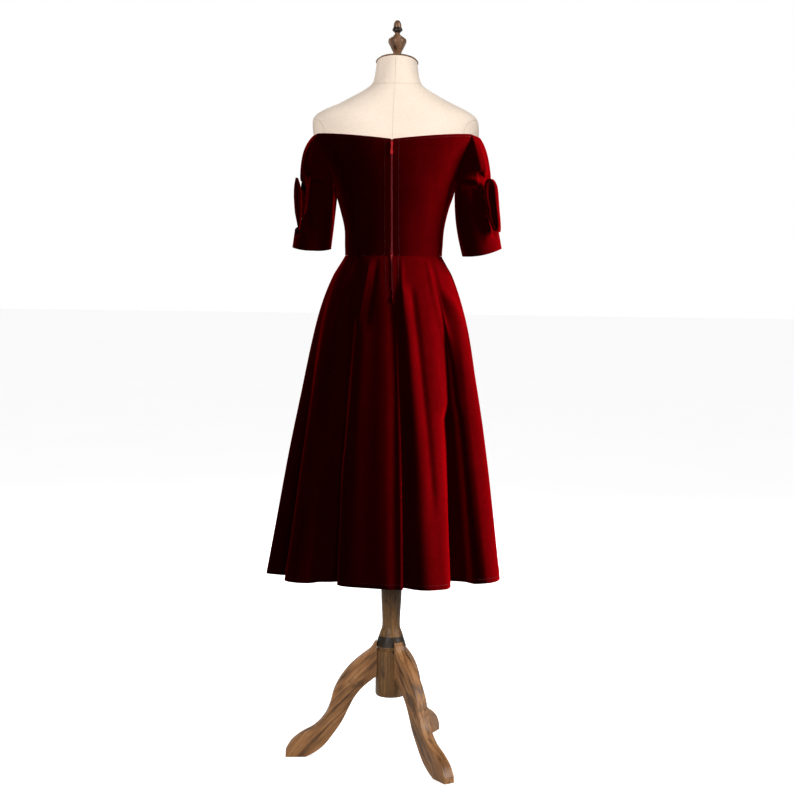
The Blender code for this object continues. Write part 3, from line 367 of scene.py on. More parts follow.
# The nap of the right fold's flank is laid over towards the hollow: the height where its lines start,
# how strongly it turns the light, and each line's slope and reach at that height
NAP_TOP = 0.89
NAP_RISE = 0.034
NAP_LINES = ((0.11, 0.126), (0.123, 0.182))

# Stitches: how long and how far apart, a row of place and radius for each ring of one, how far they
# lie from an edge, and how they sit on the cloth. The zip's coil: its turns' size, wire and pitch
STITCH_LENGTH = 0.0021
STITCH_STEP = 0.0031
STITCH_RINGS = ((-0.5, 0.0001), (-0.36, 0.00028), (0.0, 0.00036), (0.36, 0.00028), (0.5, 0.0001))
NECK_STITCH, HEM_STITCH, ZIP_STITCH = 0.005, 0.01, 0.014
COIL_HALF_WIDTH, COIL_HALF_HEIGHT = 0.00125, 0.00045
COIL_WIRE, COIL_STEP, COIL_STEPS = 0.00028, 0.0011, 12
COIL_TOP = 1.468
COIL_LEAD = 0.004
STITCH_LIFT, STITCH_SWAY, STITCH_SEED = 0.0002, 0.05, 11

# Folds on the skirt's back besides the solids' own, each along a line of reach from the seam
# (to the wearer's left) and height: half width at the top and at the hem, and how far out
SKIRT_RELIEF = (
    ("ridge right of the centre",
     ((-0.03, 1.15), (-0.044, 1.04), (-0.06, 0.89), (-0.071, 0.79), (-0.082, 0.64), (-0.096, 0.45)),
     0.009, 0.024, 0.007),
    ("furrow beside it",
     ((-0.05, 1.14), (-0.068, 1.02), (-0.084, 0.89), (-0.096, 0.79), (-0.108, 0.66)),
     0.007, 0.009, -0.0042),
    ("hollow beside the seam",
     ((-0.006, 1.12), (-0.016, 0.9), (-0.02, 0.7), (-0.026, 0.45)), 0.008, 0.013, -0.0058),
    ("deep hollow left of the middle",
     ((0.088, 1.08), (0.103, 0.89), (0.115, 0.776), (0.136, 0.663), (0.15, 0.526), (0.158, 0.44)),
     0.01, 0.016, -0.0085),
    ("roll beside the deep hollow",
     ((0.06, 1.06), (0.07, 0.89), (0.076, 0.663), (0.086, 0.45)), 0.014, 0.024, 0.004),
    ("soft roll left of the seam",
     ((0.02, 1.16), (0.018, 0.9), (0.014, 0.65), (0.004, 0.45)), 0.012, 0.02, 0.0012),
    ("right fold's crest",
     ((-0.127, 1.13), (-0.155, 1.06), (-0.172, 0.98), (-0.186, 0.898), (-0.2, 0.817), (-0.215, 0.708),
      (-0.227, 0.599), (-0.24, 0.45)), 0.01, 0.02, 0.012),
    ("right fold's left flank",
     ((-0.14, 0.86), (-0.152, 0.776), (-0.162, 0.663), (-0.172, 0.526), (-0.176, 0.45)),
     0.018, 0.024, -0.012),
    ("hip gather on the right", ((-0.082, 1.204), (-0.094, 1.15), (-0.118, 1.05)), 0.005, 0.01, 0.0032),
    ("dip beside the hip gather",
     ((-0.094, 1.202), (-0.108, 1.15), (-0.134, 1.06)), 0.005, 0.01, -0.003),
    ("first waist gather on the left",
     ((0.05, 1.205), (0.058, 1.15), (0.074, 1.06)), 0.006, 0.012, 0.003),
    ("dip right of it", ((0.034, 1.205), (0.038, 1.15), (0.05, 1.07)), 0.005, 0.01, -0.0028),
    ("dip left of it", ((0.076, 1.205), (0.088, 1.14), (0.112, 1.03)), 0.006, 0.012, -0.003),
    ("outer gather on the left", ((0.092, 1.205), (0.108, 1.14), (0.136, 1.03)), 0.006, 0.012, 0.0028),
    ("waist gather right of the seam",
     ((-0.024, 1.205), (-0.026, 1.16), (-0.032, 1.08)), 0.005, 0.009, 0.002),
)

# Soft creases in the bodice: face (1 is the back), side angle and height of each end, half width
# in metres, and how far the cloth stands out there
BODICE_CREASES = (
    ("from the right underarm", 1, 160, 1.352, 128, 1.33, 0.0085, -0.0011),
    ("below the right underarm", 1, 165, 1.325, 136, 1.296, 0.009, 0.001),
    ("right of the waist", 1, 158, 1.262, 130, 1.236, 0.008, -0.001),
    ("over the right waist", 1, 150, 1.246, 118, 1.232, 0.007, 0.0009),
    ("from the left underarm", 1, 20, 1.356, 50, 1.334, 0.0085, -0.0011),
    ("left of the waist", 1, 22, 1.266, 52, 1.24, 0.008, -0.001),
    ("over the left waist", 1, 30, 1.25, 60, 1.234, 0.007, 0.0009),
    ("front right underarm", -1, 162, 1.356, 130, 1.338, 0.0085, -0.0011),
    ("front left underarm", -1, 18, 1.358, 48, 1.336, 0.0085, -0.0011),
    ("front waist on the right", -1, 150, 1.258, 122, 1.236, 0.008, -0.001),
    ("front waist on the left", -1, 30, 1.262, 60, 1.238, 0.008, -0.001),
)

# The cut of each cloth piece that shows, a row for each: piece, width, length, area, how it is held,
# and what it rests on
CUTS = (
    ("bodice_front", 0.44, 0.32, 0.101, "stretched", "form_torso_cover"),
    ("bodice_back_left", 0.2, 0.32, 0.05, "stretched", "form_torso_cover"),
    ("bodice_back_right", 0.2, 0.32, 0.05, "stretched", "form_torso_cover"),
    ("skirt_front", 0.98, 0.79, 0.54, "gathered", "form_torso_cover"),
    ("skirt_back_left", 0.55, 0.79, 0.305, "gathered", "form_torso_cover"),
    ("skirt_back_right", 0.46, 0.79, 0.25, "gathered", "form_torso_cover"),
    ("sleeve_left", 0.48, 0.29, 0.086, "gathered", "form_torso_cover"),
    ("sleeve_right", 0.48, 0.29, 0.086, "gathered", "form_torso_cover"),
    ("bow_left", 0.36, 0.125, 0.034, "folded", "sleeve_left_velvet"),
    ("bow_right", 0.37, 0.125, 0.036, "folded", "sleeve_right_velvet"),
    ("bow_knot_left", 0.135, 0.026, 0.0034, "folded", "bow_left_velvet"),
    ("bow_knot_right", 0.135, 0.026, 0.0034, "folded", "bow_right_velvet"),
)

# Seams of the form's cover: the middle line, round the neck, and round the shoulder caps
SEAM_WIDTH = 0.0009
NECK_SEAM_HEIGHT, NECK_SEAM_SLOPE = 1.619, 0.04
CAP_SEAM_REACH, CAP_SEAM_HEIGHT, CAP_SEAM_RADIUS = 0.2, 1.5, 0.037
# Threads of the cover's weave and ribs of the zip's tape, in radians a metre
WEAVE, TAPE_RIBS = 5200.0, 6300.0
# Where a patch of painted shade stands for a slot in the column's foot
SLOT_REACH, SLOT_HEIGHT = 0.0193, 0.256

# Lamps, a row for each: name, what it lights, kind, power, place, and size (a sun's in degrees)
LAMP_AIM = Vector((0.0, 0.0, 1.0))
LAMPS = (
    ("velvet key", "velvet", "SUN", 18.0, (-2.6, 0.06, 2.0), 36),
    ("velvet fill", "velvet", "AREA", 38.0, (-0.8, 3.3, 2.5), 1.4),
    ("key", "others", "SUN", 2.6, (-2.6, 0.9, 2.35), 20),
    ("camera fill", "others", "AREA", 130.0, (1.3, 3.4, 2.2), 2.0),
    ("front fill", "velvet", "AREA", 26.0, (0.3, -3.2, 2.0), 2.0),
    ("form front fill", "others", "AREA", 80.0, (0.6, -3.2, 2.3), 2.0),
    ("left side fill", "all", "AREA", 22.0, (3.2, -1.5, 1.9), 1.6),
)
AMBIENT = 0.01
FLOOR_REACH = 30

# The photo's camera round the stand's axis: lens in millimetres, distance and height, directions
CAMERA_LENS, CAMERA_DISTANCE, CAMERA_HEIGHT = 73.13, 3.855, 1.216
CAMERA_AZIMUTH, CAMERA_PITCH = math.radians(184.8), math.radians(5.0)
CAMERA_YAW, CAMERA_ROLL = -0.00223, 0.0104


def linked(name, data):
    """A new object in the scene."""
    item = bpy.data.objects.new(name, data)
    bpy.context.scene.collection.objects.link(item)
    return item


def smooth_row(table, height):
    """A table's values at a height, on a smooth curve through its rows."""
    last, low = len(table) - 1, 0
    while low < last - 1 and table[low + 1][0] < height:
        low += 1
    before, first, second, after = (table[min(max(low + k, 0), last)] for k in (-1, 0, 1, 2))
    span = second[0] - first[0]
    share = min(1.0, max(0.0, (height - first[0]) / span))
    square, cube = share ** 2, share ** 3
    values = []
    for k in range(1, len(first)):
        start_slope = (second[k] - before[k]) / (second[0] - before[0]) * span
        end_slope = (after[k] - first[k]) / (after[0] - first[0]) * span
        values.append((2 * cube - 3 * square + 1) * first[k] + (cube - 2 * square + share) * start_slope
                      + (3 * square - 2 * cube) * second[k] + (cube - square) * end_slope)
    return values


def curve_value(values, u):
    """A smooth curve through the middle two of four values."""
    a, b, c, d = values
    return 0.5 * (2 * b + (c - a) * u + (2 * a - 5 * b + 4 * c - d) * u ** 2
                  + (3 * b - 3 * c + d - a) * u ** 3)


def smooth_line(points, steps):
    """More points on a smooth line through a short list."""
    line = []
    for k in range(len(points) - 1):
        near = [points[min(max(k + offset, 0), len(points) - 1)] for offset in (-1, 0, 1, 2)]
        for step in range(steps):
            line.append(tuple(curve_value([p[i] for p in near], step / steps) for i in (0, 1)))
    return line + [points[-1]]


def power(value, exponent):
    """A power that keeps the value's sign."""
    return math.copysign(abs(value) ** exponent, value)


def blend(start, end, share):
    """A value or point between two others."""
    return start + (end - start) * share


def soft_step(share):
    """A smooth rise from 0 to 1."""
    share = min(1.0, max(0.0, share))
    return share * share * (3 - 2 * share)


def bell(distance, width):
    """1 at a distance of nothing, falling away smoothly."""
    return math.exp(-(distance / width) ** 2)


def circle(steps, radius=1.0):
    """Points round a circle, in plan."""
    return [Vector((radius * math.cos(math.tau * k / steps), radius * math.sin(math.tau * k / steps), 0.0))
            for k in range(steps)]


def section_point(angle, left, right, back, front, roundness):
    """A point on a rounded section, in plan."""
    across = power(math.cos(angle), 2 / roundness)
    deep = power(math.sin(angle), 2 / roundness)
    return across * (left if across >= 0 else right), deep * (back if deep >= 0 else front)


def form_point(angle, height, gap=0.0):
    """A point on the form's surface, or a given gap outside it."""
    left, right, middle, back, front, roundness = smooth_row(FORM_SECTIONS, height)
    x, y = section_point(angle, left + gap, right + gap, back + gap, front + gap, roundness)
    return Vector((x, middle + y, height))


def form_back_at(x, height, gap):
    """The point on the form's back at a distance from the centre line."""
    left, right, middle, back, _, roundness = smooth_row(FORM_SECTIONS, height)
    share = abs(x) / ((left if x > 0 else right) + gap)
    return Vector((x, middle + (back + gap) * (1 - share ** roundness) ** (1 / roundness), height))


def armhole(share, face):
    """Angle and height of the armhole seam, from the underarm (0) to the neck edge (1)."""
    corner = NECK_CORNER_BACK if face > 0 else NECK_CORNER_FRONT
    return CORNER_ANGLE * share ** ARMHOLE_TURN, blend(UNDERARM, corner, share ** ARMHOLE_RISE)


def zip_half_gap(height):
    """Half the gap between the two backs, with the zip in it above the zip's end."""
    with_zip = ZIP_HALF_WIDTH + SEAM_GAP + ZIP_GAPE * bell(height - WAIST - ZIP_GAPE_RISE, ZIP_GAPE_LENGTH)
    return blend(with_zip, SEAM_GAP / 2, soft_step((ZIP_END + ZIP_CLOSE_RISE - height) / ZIP_CLOSE_LENGTH))


def bodice_place(across, up, face):
    """Angle and height at a share across (-1 right edge to 1 left edge) and a share up."""
    low = WAIST + SEAM_GAP
    centre = blend(low, NECK_CENTRE_BACK if face > 0 else NECK_CENTRE_FRONT, up)
    if up <= UNDERARM_SHARE:
        edge_angle, edge = 0.0, blend(low, UNDERARM, up / UNDERARM_SHARE)
    else:
        edge_angle, edge = armhole((up - UNDERARM_SHARE) / (1 - UNDERARM_SHARE), face)
    edge_angle = max(edge_angle, SIDE_SEAM_ANGLE)
    height = blend(centre, edge, 1 - (1 - abs(across)) ** NECKLINE_CURVE)
    return math.pi / 2 - (math.pi / 2 - edge_angle) * across, height


def sleeve_top(turn, side):
    """The sleeve's upper edge: 0 at the underarm, up the back, over the cap, down the front."""
    under = max(0.0, math.cos(math.tau * turn)) ** 4
    gap = FORM_GAP + ARMHOLE_EASE + WALL + SEAM_GAP + (WALL + SEAM_GAP) * under
    if turn <= CORNER_SHARE:
        angle, height = armhole(turn / CORNER_SHARE, 1)
    elif turn < 1 - CORNER_SHARE:
        share = (turn - CORNER_SHARE) / (1 - 2 * CORNER_SHARE)
        angle = CORNER_ANGLE * (1 - 2 * share)
        height = (NECK_CORNER_BACK * (1 - share) ** 2 + 2 * NECK_OUTER * share * (1 - share)
                  + NECK_CORNER_FRONT * share ** 2)
    else:
        angle, height = armhole((1 - turn) / CORNER_SHARE, -1)
        angle = -angle
    return form_point(angle if side > 0 else math.pi - angle, height, gap)


def creases_at(creases, point, end_fade=CREASE_RUN_OUT):
    """How far some creases lift the cloth at a point, each less towards its ends."""
    total = 0.0
    for start, end, width, lift in creases:
        along = end - start
        share = min(1.0, max(0.0, (point - start).dot(along) / along.length_squared))
        off = (point - start - along * share).length
        total += lift * bell(off, width) * (1 - end_fade * (2 * share - 1) ** 2)
    return total


def sleeve_lines(table):
    """A sleeve's creases, each from one place to another in reach and height."""
    return [(Vector(row[0:2]), Vector(row[2:4]), *row[4:]) for row in table]


def bow_limit(sleeve, point):
    """How far out the sleeve may reach: to its bow, and further below the bow's open loops."""
    along = abs(point.y - SLEEVE_MIDDLE) / BOW_LOOP
    below = soft_step((BOW_HEIGHT - point.z - EASE_START) / EASE_FULL)
    ease = PRESS_EASE[sleeve[1]] * below * soft_step((along - EASE_ASIDE) / EASE_ASIDE_FADE)
    along = min(1.0, along)
    tall = blend(BOW_PINCH_HEIGHT, BOW_HALF_HEIGHT, soft_step((along + PRESS_LEAD) / BOW_FULL))
    off = abs(point.z - BOW_HEIGHT) - max(BOW_FOOT, tall)
    thick = BOW_PINCH_THICK + BOW_BULGE * along ** BOW_BULGE_GROWTH
    layer = BOW_WRAP * along ** 2 + thick * math.sqrt(1 - along * along)
    knot = KNOT_DEPTH * bell(point.y - SLEEVE_MIDDLE, KNOT_HOLLOW_LENGTH)
    knot *= bell(point.z - BOW_HEIGHT, KNOT_HOLLOW_HEIGHT)
    free = PRESS_FREE * (soft_step((off - PRESS_EDGE) / PRESS_EDGE_FADE)
                         + soft_step((along - PRESS_END) / (1 - PRESS_END)))
    lean, reach = sleeve[-2:]
    return reach + lean * (BOW_HEIGHT - point.z) - layer - knot - WALL - BOW_CLEAR + free + ease


def facing(turn):
    """How squarely a sleeve's point faces the back or the front."""
    return soft_step((abs(math.sin(math.tau * turn)) - CREASE_SIDE) / CREASE_SIDE_FADE)


def sleeve_point(sleeve, turn, down):
    """A point on the sleeve's inner face: a share round, and a share down to the cuff."""
    _, side, cuff_in, cuff_out, in_height, out_height, puff, inner_bow, *_ = sleeve
    around = math.tau * turn
    outward, deep = -math.cos(around), math.sin(around)
    outer_share = (1 + outward) / 2
    reach = (cuff_in + cuff_out) / 2 + ((cuff_out - cuff_in) / 2 - WALL) * outward
    height = blend(in_height, out_height, outer_share) - CUFF_SAG * deep ** 2
    cuff = Vector((side * reach, SLEEVE_MIDDLE + CUFF_HALF_DEPTH * deep, height))
    radial = Vector((side * outward, deep, 0.0))
    swell = down / PUFF_PEAK * math.exp(1 - down / PUFF_PEAK)
    bow = inner_bow * math.sin(math.pi * down) * (1 - outer_share)
    dent = PINCH * bell(down - PINCH_AT, PINCH_LENGTH) * max(0.0, outward) ** 1.5
    point = blend(sleeve_top(turn, side), cuff, down)
    point += radial * (puff * swell * outer_share ** 0.7 + bow - dent)
    crease = creases_at(MAIN_CREASES, Vector((abs(point.x), point.z)), CREASE_END_FADE) * facing(turn)
    point += radial * crease * soft_step(down / CREASE_TOP_FADE)
    limit = bow_limit(sleeve, point)
    over = side * point.x - limit + PRESS_SOFT
    if over > 0.0:
        point.x = side * (limit - PRESS_SOFT * math.exp(-over / PRESS_SOFT))
    return point


class Grid:
    """Points of a cloth's outer face, in rows from its lower edge up and columns to the left."""

    def __init__(self, rows, closed=False, turn=1):
        self.rows, self.closed, self.turn = rows, closed, turn
        self.height, self.width = len(rows), len(rows[0])
        self.normals = [[self.normal(r, c) for c in range(self.width)] for r in range(self.height)]

    def near(self, row, column):
        row = min(max(row, 0), self.height - 1)
        column = column % self.width if self.closed else min(max(column, 0), self.width - 1)
        return self.rows[row][column]

    def normal(self, row, column):
        along = self.near(row, column + 1) - self.near(row, column - 1)
        up = self.near(row + 1, column) - self.near(row - 1, column)
        return (along.cross(up) * self.turn).normalized()

    def raised(self, relief):
        """The same cloth with a relief, a function of a share across, a share up and the point."""
        rows = [[p + self.normals[r][c] * relief(c / (self.width - 1), r / (self.height - 1), p)
                 for c, p in enumerate(row)] for r, row in enumerate(self.rows)]
        return Grid(rows, self.closed, self.turn)

    def line(self, side, inset):
        """A line on the cloth that keeps a distance from one of its edges."""
        high, wide = range(self.height), range(self.width)
        upright = side in ("top", "bottom")
        runs = [[(r, c) for r in high] for c in wide] if upright else [[(r, c) for c in wide] for r in high]
        points = []
        for run in runs:
            if side in ("top", "end"):
                run.reverse()
            left = inset
            for (r, c), (r2, c2) in zip(run, run[1:]):
                start, end = self.rows[r][c], self.rows[r2][c2]
                step = (end - start).length
                if step >= left:
                    normal = self.normals[r][c].lerp(self.normals[r2][c2], left / step)
                    points.append(start.lerp(end, left / step) + normal * STITCH_LIFT)
                    break
                left -= step
        return points


def grid_rows(size, place, closed=False):
    """Rows of points from a function of a share across and a share up."""
    columns, rows = size
    return [[place(c / columns, r / rows) for c in range(columns if closed else columns + 1)]
            for r in range(rows + 1)]


def mesh_object(name, points, faces, uvs=None, sharp=50, base=AXIS):
    """A closed mesh object round the stand's axis, smooth but for its sharp edges."""
    mesh = bpy.data.meshes.new(name)
    mesh.from_pydata([tuple(p + base) for p in points], [], faces)
    if uvs:
        layer = mesh.uv_layers.new(name="UVMap")
        for loop, uv in zip(layer.data, (uv for face in uvs for uv in face)):
            loop.uv = uv
    work = bmesh.new()
    work.from_mesh(mesh)
    bmesh.ops.recalc_face_normals(work, faces=work.faces)
    work.to_mesh(mesh)
    work.free()
    mesh.shade_smooth()
    if sharp:
        mesh.set_sharp_from_angle(angle=math.radians(sharp))
    return linked(name, mesh)


def quads(rows, columns, closed=True, looped=False):
    """Row, column and corners of each face between rings of points that stand in one list."""
    for r in range(rows if looped else rows - 1):
        for c in range(columns if closed else columns - 1):
            after, right = (r + 1) % rows * columns, (c + 1) % columns
            yield r, c, (r * columns + c, r * columns + right, after + right, after + c)


def ringed(name, rings, sharp=50, looped=False, base=AXIS):
    """A solid through rings of points, closed at both ends or joined into a loop."""
    count, points = len(rings[0]), [p for ring in rings for p in ring]
    faces = [corners for _, _, corners in quads(len(rings), count, looped=looped)]
    if not looped:
        faces += [tuple(range(count)), tuple(range(len(points) - count, len(points)))]
    return mesh_object(name, points, faces, sharp=sharp, base=base)


def cloth_piece(name, grid, free=(), thick=WALL):
    """A closed wall of cloth behind a grid, with rounded folds at its free edges."""
    rows, columns = grid.height, grid.width
    count = rows * columns
    outer = [p for row in grid.rows for p in row]
    inner = [p - n * thick for p, n in zip(outer, (n for row in grid.normals for n in row))]
    points = outer + inner
    across, up = [0.0], [0.0]
    for c in range(columns):
        across.append(across[-1] + (grid.near(rows // 2, c + 1) - grid.near(rows // 2, c)).length)
    for r in range(rows - 1):
        up.append(up[-1] + (grid.rows[r + 1][columns // 2] - grid.rows[r][columns // 2]).length)
    faces, uvs = [], []
    for r, c, corners in quads(rows, columns, grid.closed):
        places = tuple((across[c + k], up[r + n]) for k, n in ((0, 0), (1, 0), (1, 1), (0, 1)))
        faces += [corners, tuple(k + count for k in corners[::-1])]
        uvs += [places, places[::-1]]
    last_row, last_column = rows - 1, columns - 1
    if grid.closed:
        loops = [[(r, c) for c in range(columns)] for r in (0, last_row)]
    else:
        loops = [[(0, c) for c in range(columns)] + [(r, last_column) for r in range(1, rows)]
                 + [(last_row, c) for c in range(columns - 2, -1, -1)]
                 + [(r, 0) for r in range(rows - 2, 0, -1)]]
    for loop in loops:
        start = len(points)
        for r, c in loop:
            here = r * columns + c
            away = Vector()
            for edge, at_edge, inward in (("bottom", r == 0, columns), ("top", r == last_row, -columns)):
                if at_edge and edge in free:
                    away += (outer[here] - outer[here + inward]).normalized()
            points.append((outer[here] + inner[here]) / 2 + away * thick * EDGE_ROUND)
        for k, (r, c) in enumerate(loop):
            after = (k + 1) % len(loop)
            a, b = r * columns + c, loop[after][0] * columns + loop[after][1]
            faces += [(a, b, start + after, start + k), (start + k, start + after, b + count, a + count)]
            uvs += [((across[c], up[r]),) * 4] * 2
    return mesh_object(name, points, faces, uvs)


def bodice_grid(face, start, end):
    """A bodice panel's outer face, from one share across to another."""
    columns, rows = BODICE_GRID
    creases = []
    for _, side, angle_a, height_a, angle_b, height_b, width, lift in BODICE_CREASES:
        if side == face:
            ends = (form_point(math.radians(angle) * face, height, FORM_GAP + WALL)
                    for angle, height in ((angle_a, height_a), (angle_b, height_b)))
            creases.append((*ends, width, lift))

    def place(share, up):
        across = blend(start, end, share)
        angle, height = bodice_place(across, up, face)
        gap = FORM_GAP + ARMHOLE_EASE * across ** 4 + WALL
        if across == 0.0 and face > 0:
            return form_back_at(math.copysign(zip_half_gap(height), start + end), height, gap)
        return form_point(angle * face, height, gap)

    def relief(_, up, point):
        return soft_step(up / SEAM_FADE) * soft_step((1 - up) / SEAM_FADE) * creases_at(creases, point)
    return Grid(grid_rows((columns if face > 0 else 2 * columns, rows), place), turn=-face).raised(relief)


def fold_point(station, height):
    """A point on the skirt's outer face: a station along the fold table, and a height."""
    left, right, back, front, roundness = smooth_row(SKIRT_SECTIONS, height)
    down = (WAIST - height) / (WAIST - HEM)
    depth, turn = max(down, 0.0) ** FOLD_GROWTH, 1 - (1 - down) ** FOLD_TURN
    first, count = math.floor(station), len(SKIRT_FOLDS)
    angles, shares = [], []
    for k in range(first - 1, first + 3):
        _, waist, hem, share = SKIRT_FOLDS[k % count]
        angles.append(blend(waist, hem, turn) + 360.0 * (k // count))
        shares.append(1 - (1 - share) * depth)
    angle, share = (curve_value(values, station - first) for values in (angles, shares))
    x, y = section_point(math.radians(angle), left, right, back, front, roundness)
    return Vector((x * share, y * share, height))


def path_nearness(x, z, path, width):
    """How near a place lies to a bent line, fading out over the line's ends."""
    top, foot = path[0][1], path[-1][1]
    if not foot - PATH_TAIL < z < top + PATH_LEAD:
        return 0.0
    k = 0
    while k < len(path) - 2 and path[k + 1][1] > z:
        k += 1
    (start_x, start_z), (end_x, end_z) = path[k:k + 2]
    middle = blend(start_x, end_x, (z - start_z) / (end_z - start_z))
    ends = soft_step((top - z + PATH_LEAD) / PATH_TOP_FADE)
    if foot > HEM:
        ends *= soft_step((z - foot + PATH_TAIL) / PATH_FOOT_FADE)
    return bell(x - middle, width) * ends


def skirt_grid(first, last):
    """A skirt panel's outer face, between two rows of the fold table."""
    fine, rows = SKIRT_GRID

    def place(share, up):
        height = blend(HEM, WAIST, 1 - (1 - up) ** SKIRT_ROW_SPREAD)
        station = blend(first, last, share)
        point = fold_point(station, height)
        if share in (0.0, 1.0):
            step = fold_point(station + EDGE_STEP, height) - fold_point(station - EDGE_STEP, height)
            at_zip = round(station) % len(SKIRT_FOLDS) == BACK_SEAM
            half_gap = zip_half_gap(height) if at_zip else SEAM_GAP / 2
            point += step.normalized() * (half_gap if share == 0.0 else -half_gap)
        return point

    def back_relief(_, up, point):
        down = (WAIST - point.z) / (WAIST - HEM)
        total = sum(lift * path_nearness(point.x, point.z, path, blend(top, hem, down))
                    for _, path, top, hem, lift in SKIRT_RELIEF)
        return total * soft_step((WAIST - point.z) / WAIST_FADE) * soft_step(point.y / SIDE_FADE)

    def front_relief(across, up, point):
        below = WAIST - point.z
        gather = math.cos(across * 46.0) * 0.6 + math.cos(across * 29.0 + 1.3) * 0.4
        return GATHER_LIFT * gather * soft_step(below / WAIST_FADE) * bell(below, GATHER_LENGTH)
    relief = front_relief if first == RIGHT_SEAM else back_relief
    return Grid(grid_rows(((last - first) * fine, rows), place)).raised(relief)


def sleeve_grid(sleeve):
    """A sleeve's outer face."""
    folds = sleeve_lines([row[2:] for row in SLEEVE_FOLDS if row[1] in (0, sleeve[1])])

    def relief(across, up, point):
        lift = creases_at(folds, Vector((abs(point.x), point.z)))
        return WALL + lift * facing(across) * soft_step((1 - up) / CREASE_TOP_FADE)
    rows = grid_rows(SLEEVE_GRID, lambda turn, up: sleeve_point(sleeve, turn, 1 - up), closed=True)
    return Grid(rows, closed=True, turn=sleeve[1]).raised(relief)


def bow_grid(sleeve):
    """A bow's band, outer face: blunt loops with dented ends, and creases that run out of the knot."""
    name, side, *_, lean, bow_reach = sleeve

    def place(turn, share):
        up = 2 * share - 1
        along, out = -math.cos(math.tau * turn), math.sin(math.tau * turn)
        far = abs(along)
        half_height = blend(BOW_PINCH_HEIGHT, BOW_HALF_HEIGHT, soft_step(far / BOW_FULL))
        pinched = bow_reach - lean * up * half_height
        starts = (pinched - BOW_PINCH_THICK, pinched + BOW_PINCH_THICK)
        near, off = (blend(start, rim, soft_step(far / LOOP_FULL) ** 0.8)
                     for start, rim in zip(starts, smooth_row(BOW_RIMS[name], up)))
        layer = math.copysign(math.sqrt(max(0.0, 1 - far ** LOOP_BLUNT)), out)
        crease = LOOP_CREASE * math.cos(up * LOOP_CREASE_TURN + side) * bell(far - 0.16, 0.26)
        reach = blend(near, off, (1 + layer) / 2) - math.copysign(crease, out) * abs(out) ** 0.5
        loop = BOW_LOOP * (1 - BOW_TAPER * up * up) * (1 - LOOP_DENT * bell(layer, 0.5) * (1 - up ** 4))
        return Vector((side * reach, SLEEVE_MIDDLE + along * loop, BOW_HEIGHT + up * half_height))
    return Grid(grid_rows(BOW_GRID, place, closed=True), closed=True, turn=side)


def knot_grid(sleeve):
    """The knot's outer face: a short soft band with creases across it."""
    _, side, *_, lean, bow_reach = sleeve

    def place(turn, share):
        along = 2 * share - 1
        crease = KNOT_CREASE * math.cos(along * 11) * (1 - along ** 4)
        swell = KNOT_SWELL * (1 - along * along) + crease
        x = power(math.cos(math.tau * turn), 0.55) * (KNOT_HALF_THICK + swell)
        rise = power(math.sin(math.tau * turn), 0.45) * (KNOT_HALF_HEIGHT + swell)
        reach = bow_reach - lean * rise + x
        return Vector((side * reach, SLEEVE_MIDDLE + along * KNOT_HALF_LENGTH, BOW_HEIGHT + rise))
    return Grid(grid_rows(KNOT_GRID, place, closed=True), closed=True, turn=side)


def make_torso():
    """The form's padded torso, with its neck cut at a slope."""
    def place(turn, up):
        point = form_point(math.tau * turn, blend(FORM_SECTIONS[0][0], NECK_TOP, up))
        slope = NECK_SLOPE * soft_step((point.z - NECK_SLOPE_START) / (NECK_TOP - NECK_SLOPE_START))
        point.z += slope * (point.y - NECK_MIDDLE)
        return point
    return ringed("form_torso_cover", grid_rows(TORSO_GRID, place, closed=True))


def turned(name, profile, steps=72, fine=4, middle=0.0, tilt=0.0, base=0.0):
    """A turned piece from its profile, smooth between the profile's points."""
    line = smooth_line(profile, fine) if fine > 1 else profile
    place = Matrix.Translation((0.0, middle, base)) @ Matrix.Rotation(tilt, 4, "X")
    rings = [[place @ (p + Vector((0.0, 0.0, height))) for p in circle(steps, max(radius, 0.0004))]
             for radius, height in reversed(line)]
    return ringed(name, rings, sharp=35)


def plain_mesh(item):
    """A plain mesh of an object as its modifiers leave it."""
    bpy.context.view_layer.update()
    graph = bpy.context.evaluated_depsgraph_get()
    return bpy.data.meshes.new_from_object(item.evaluated_get(graph), depsgraph=graph)


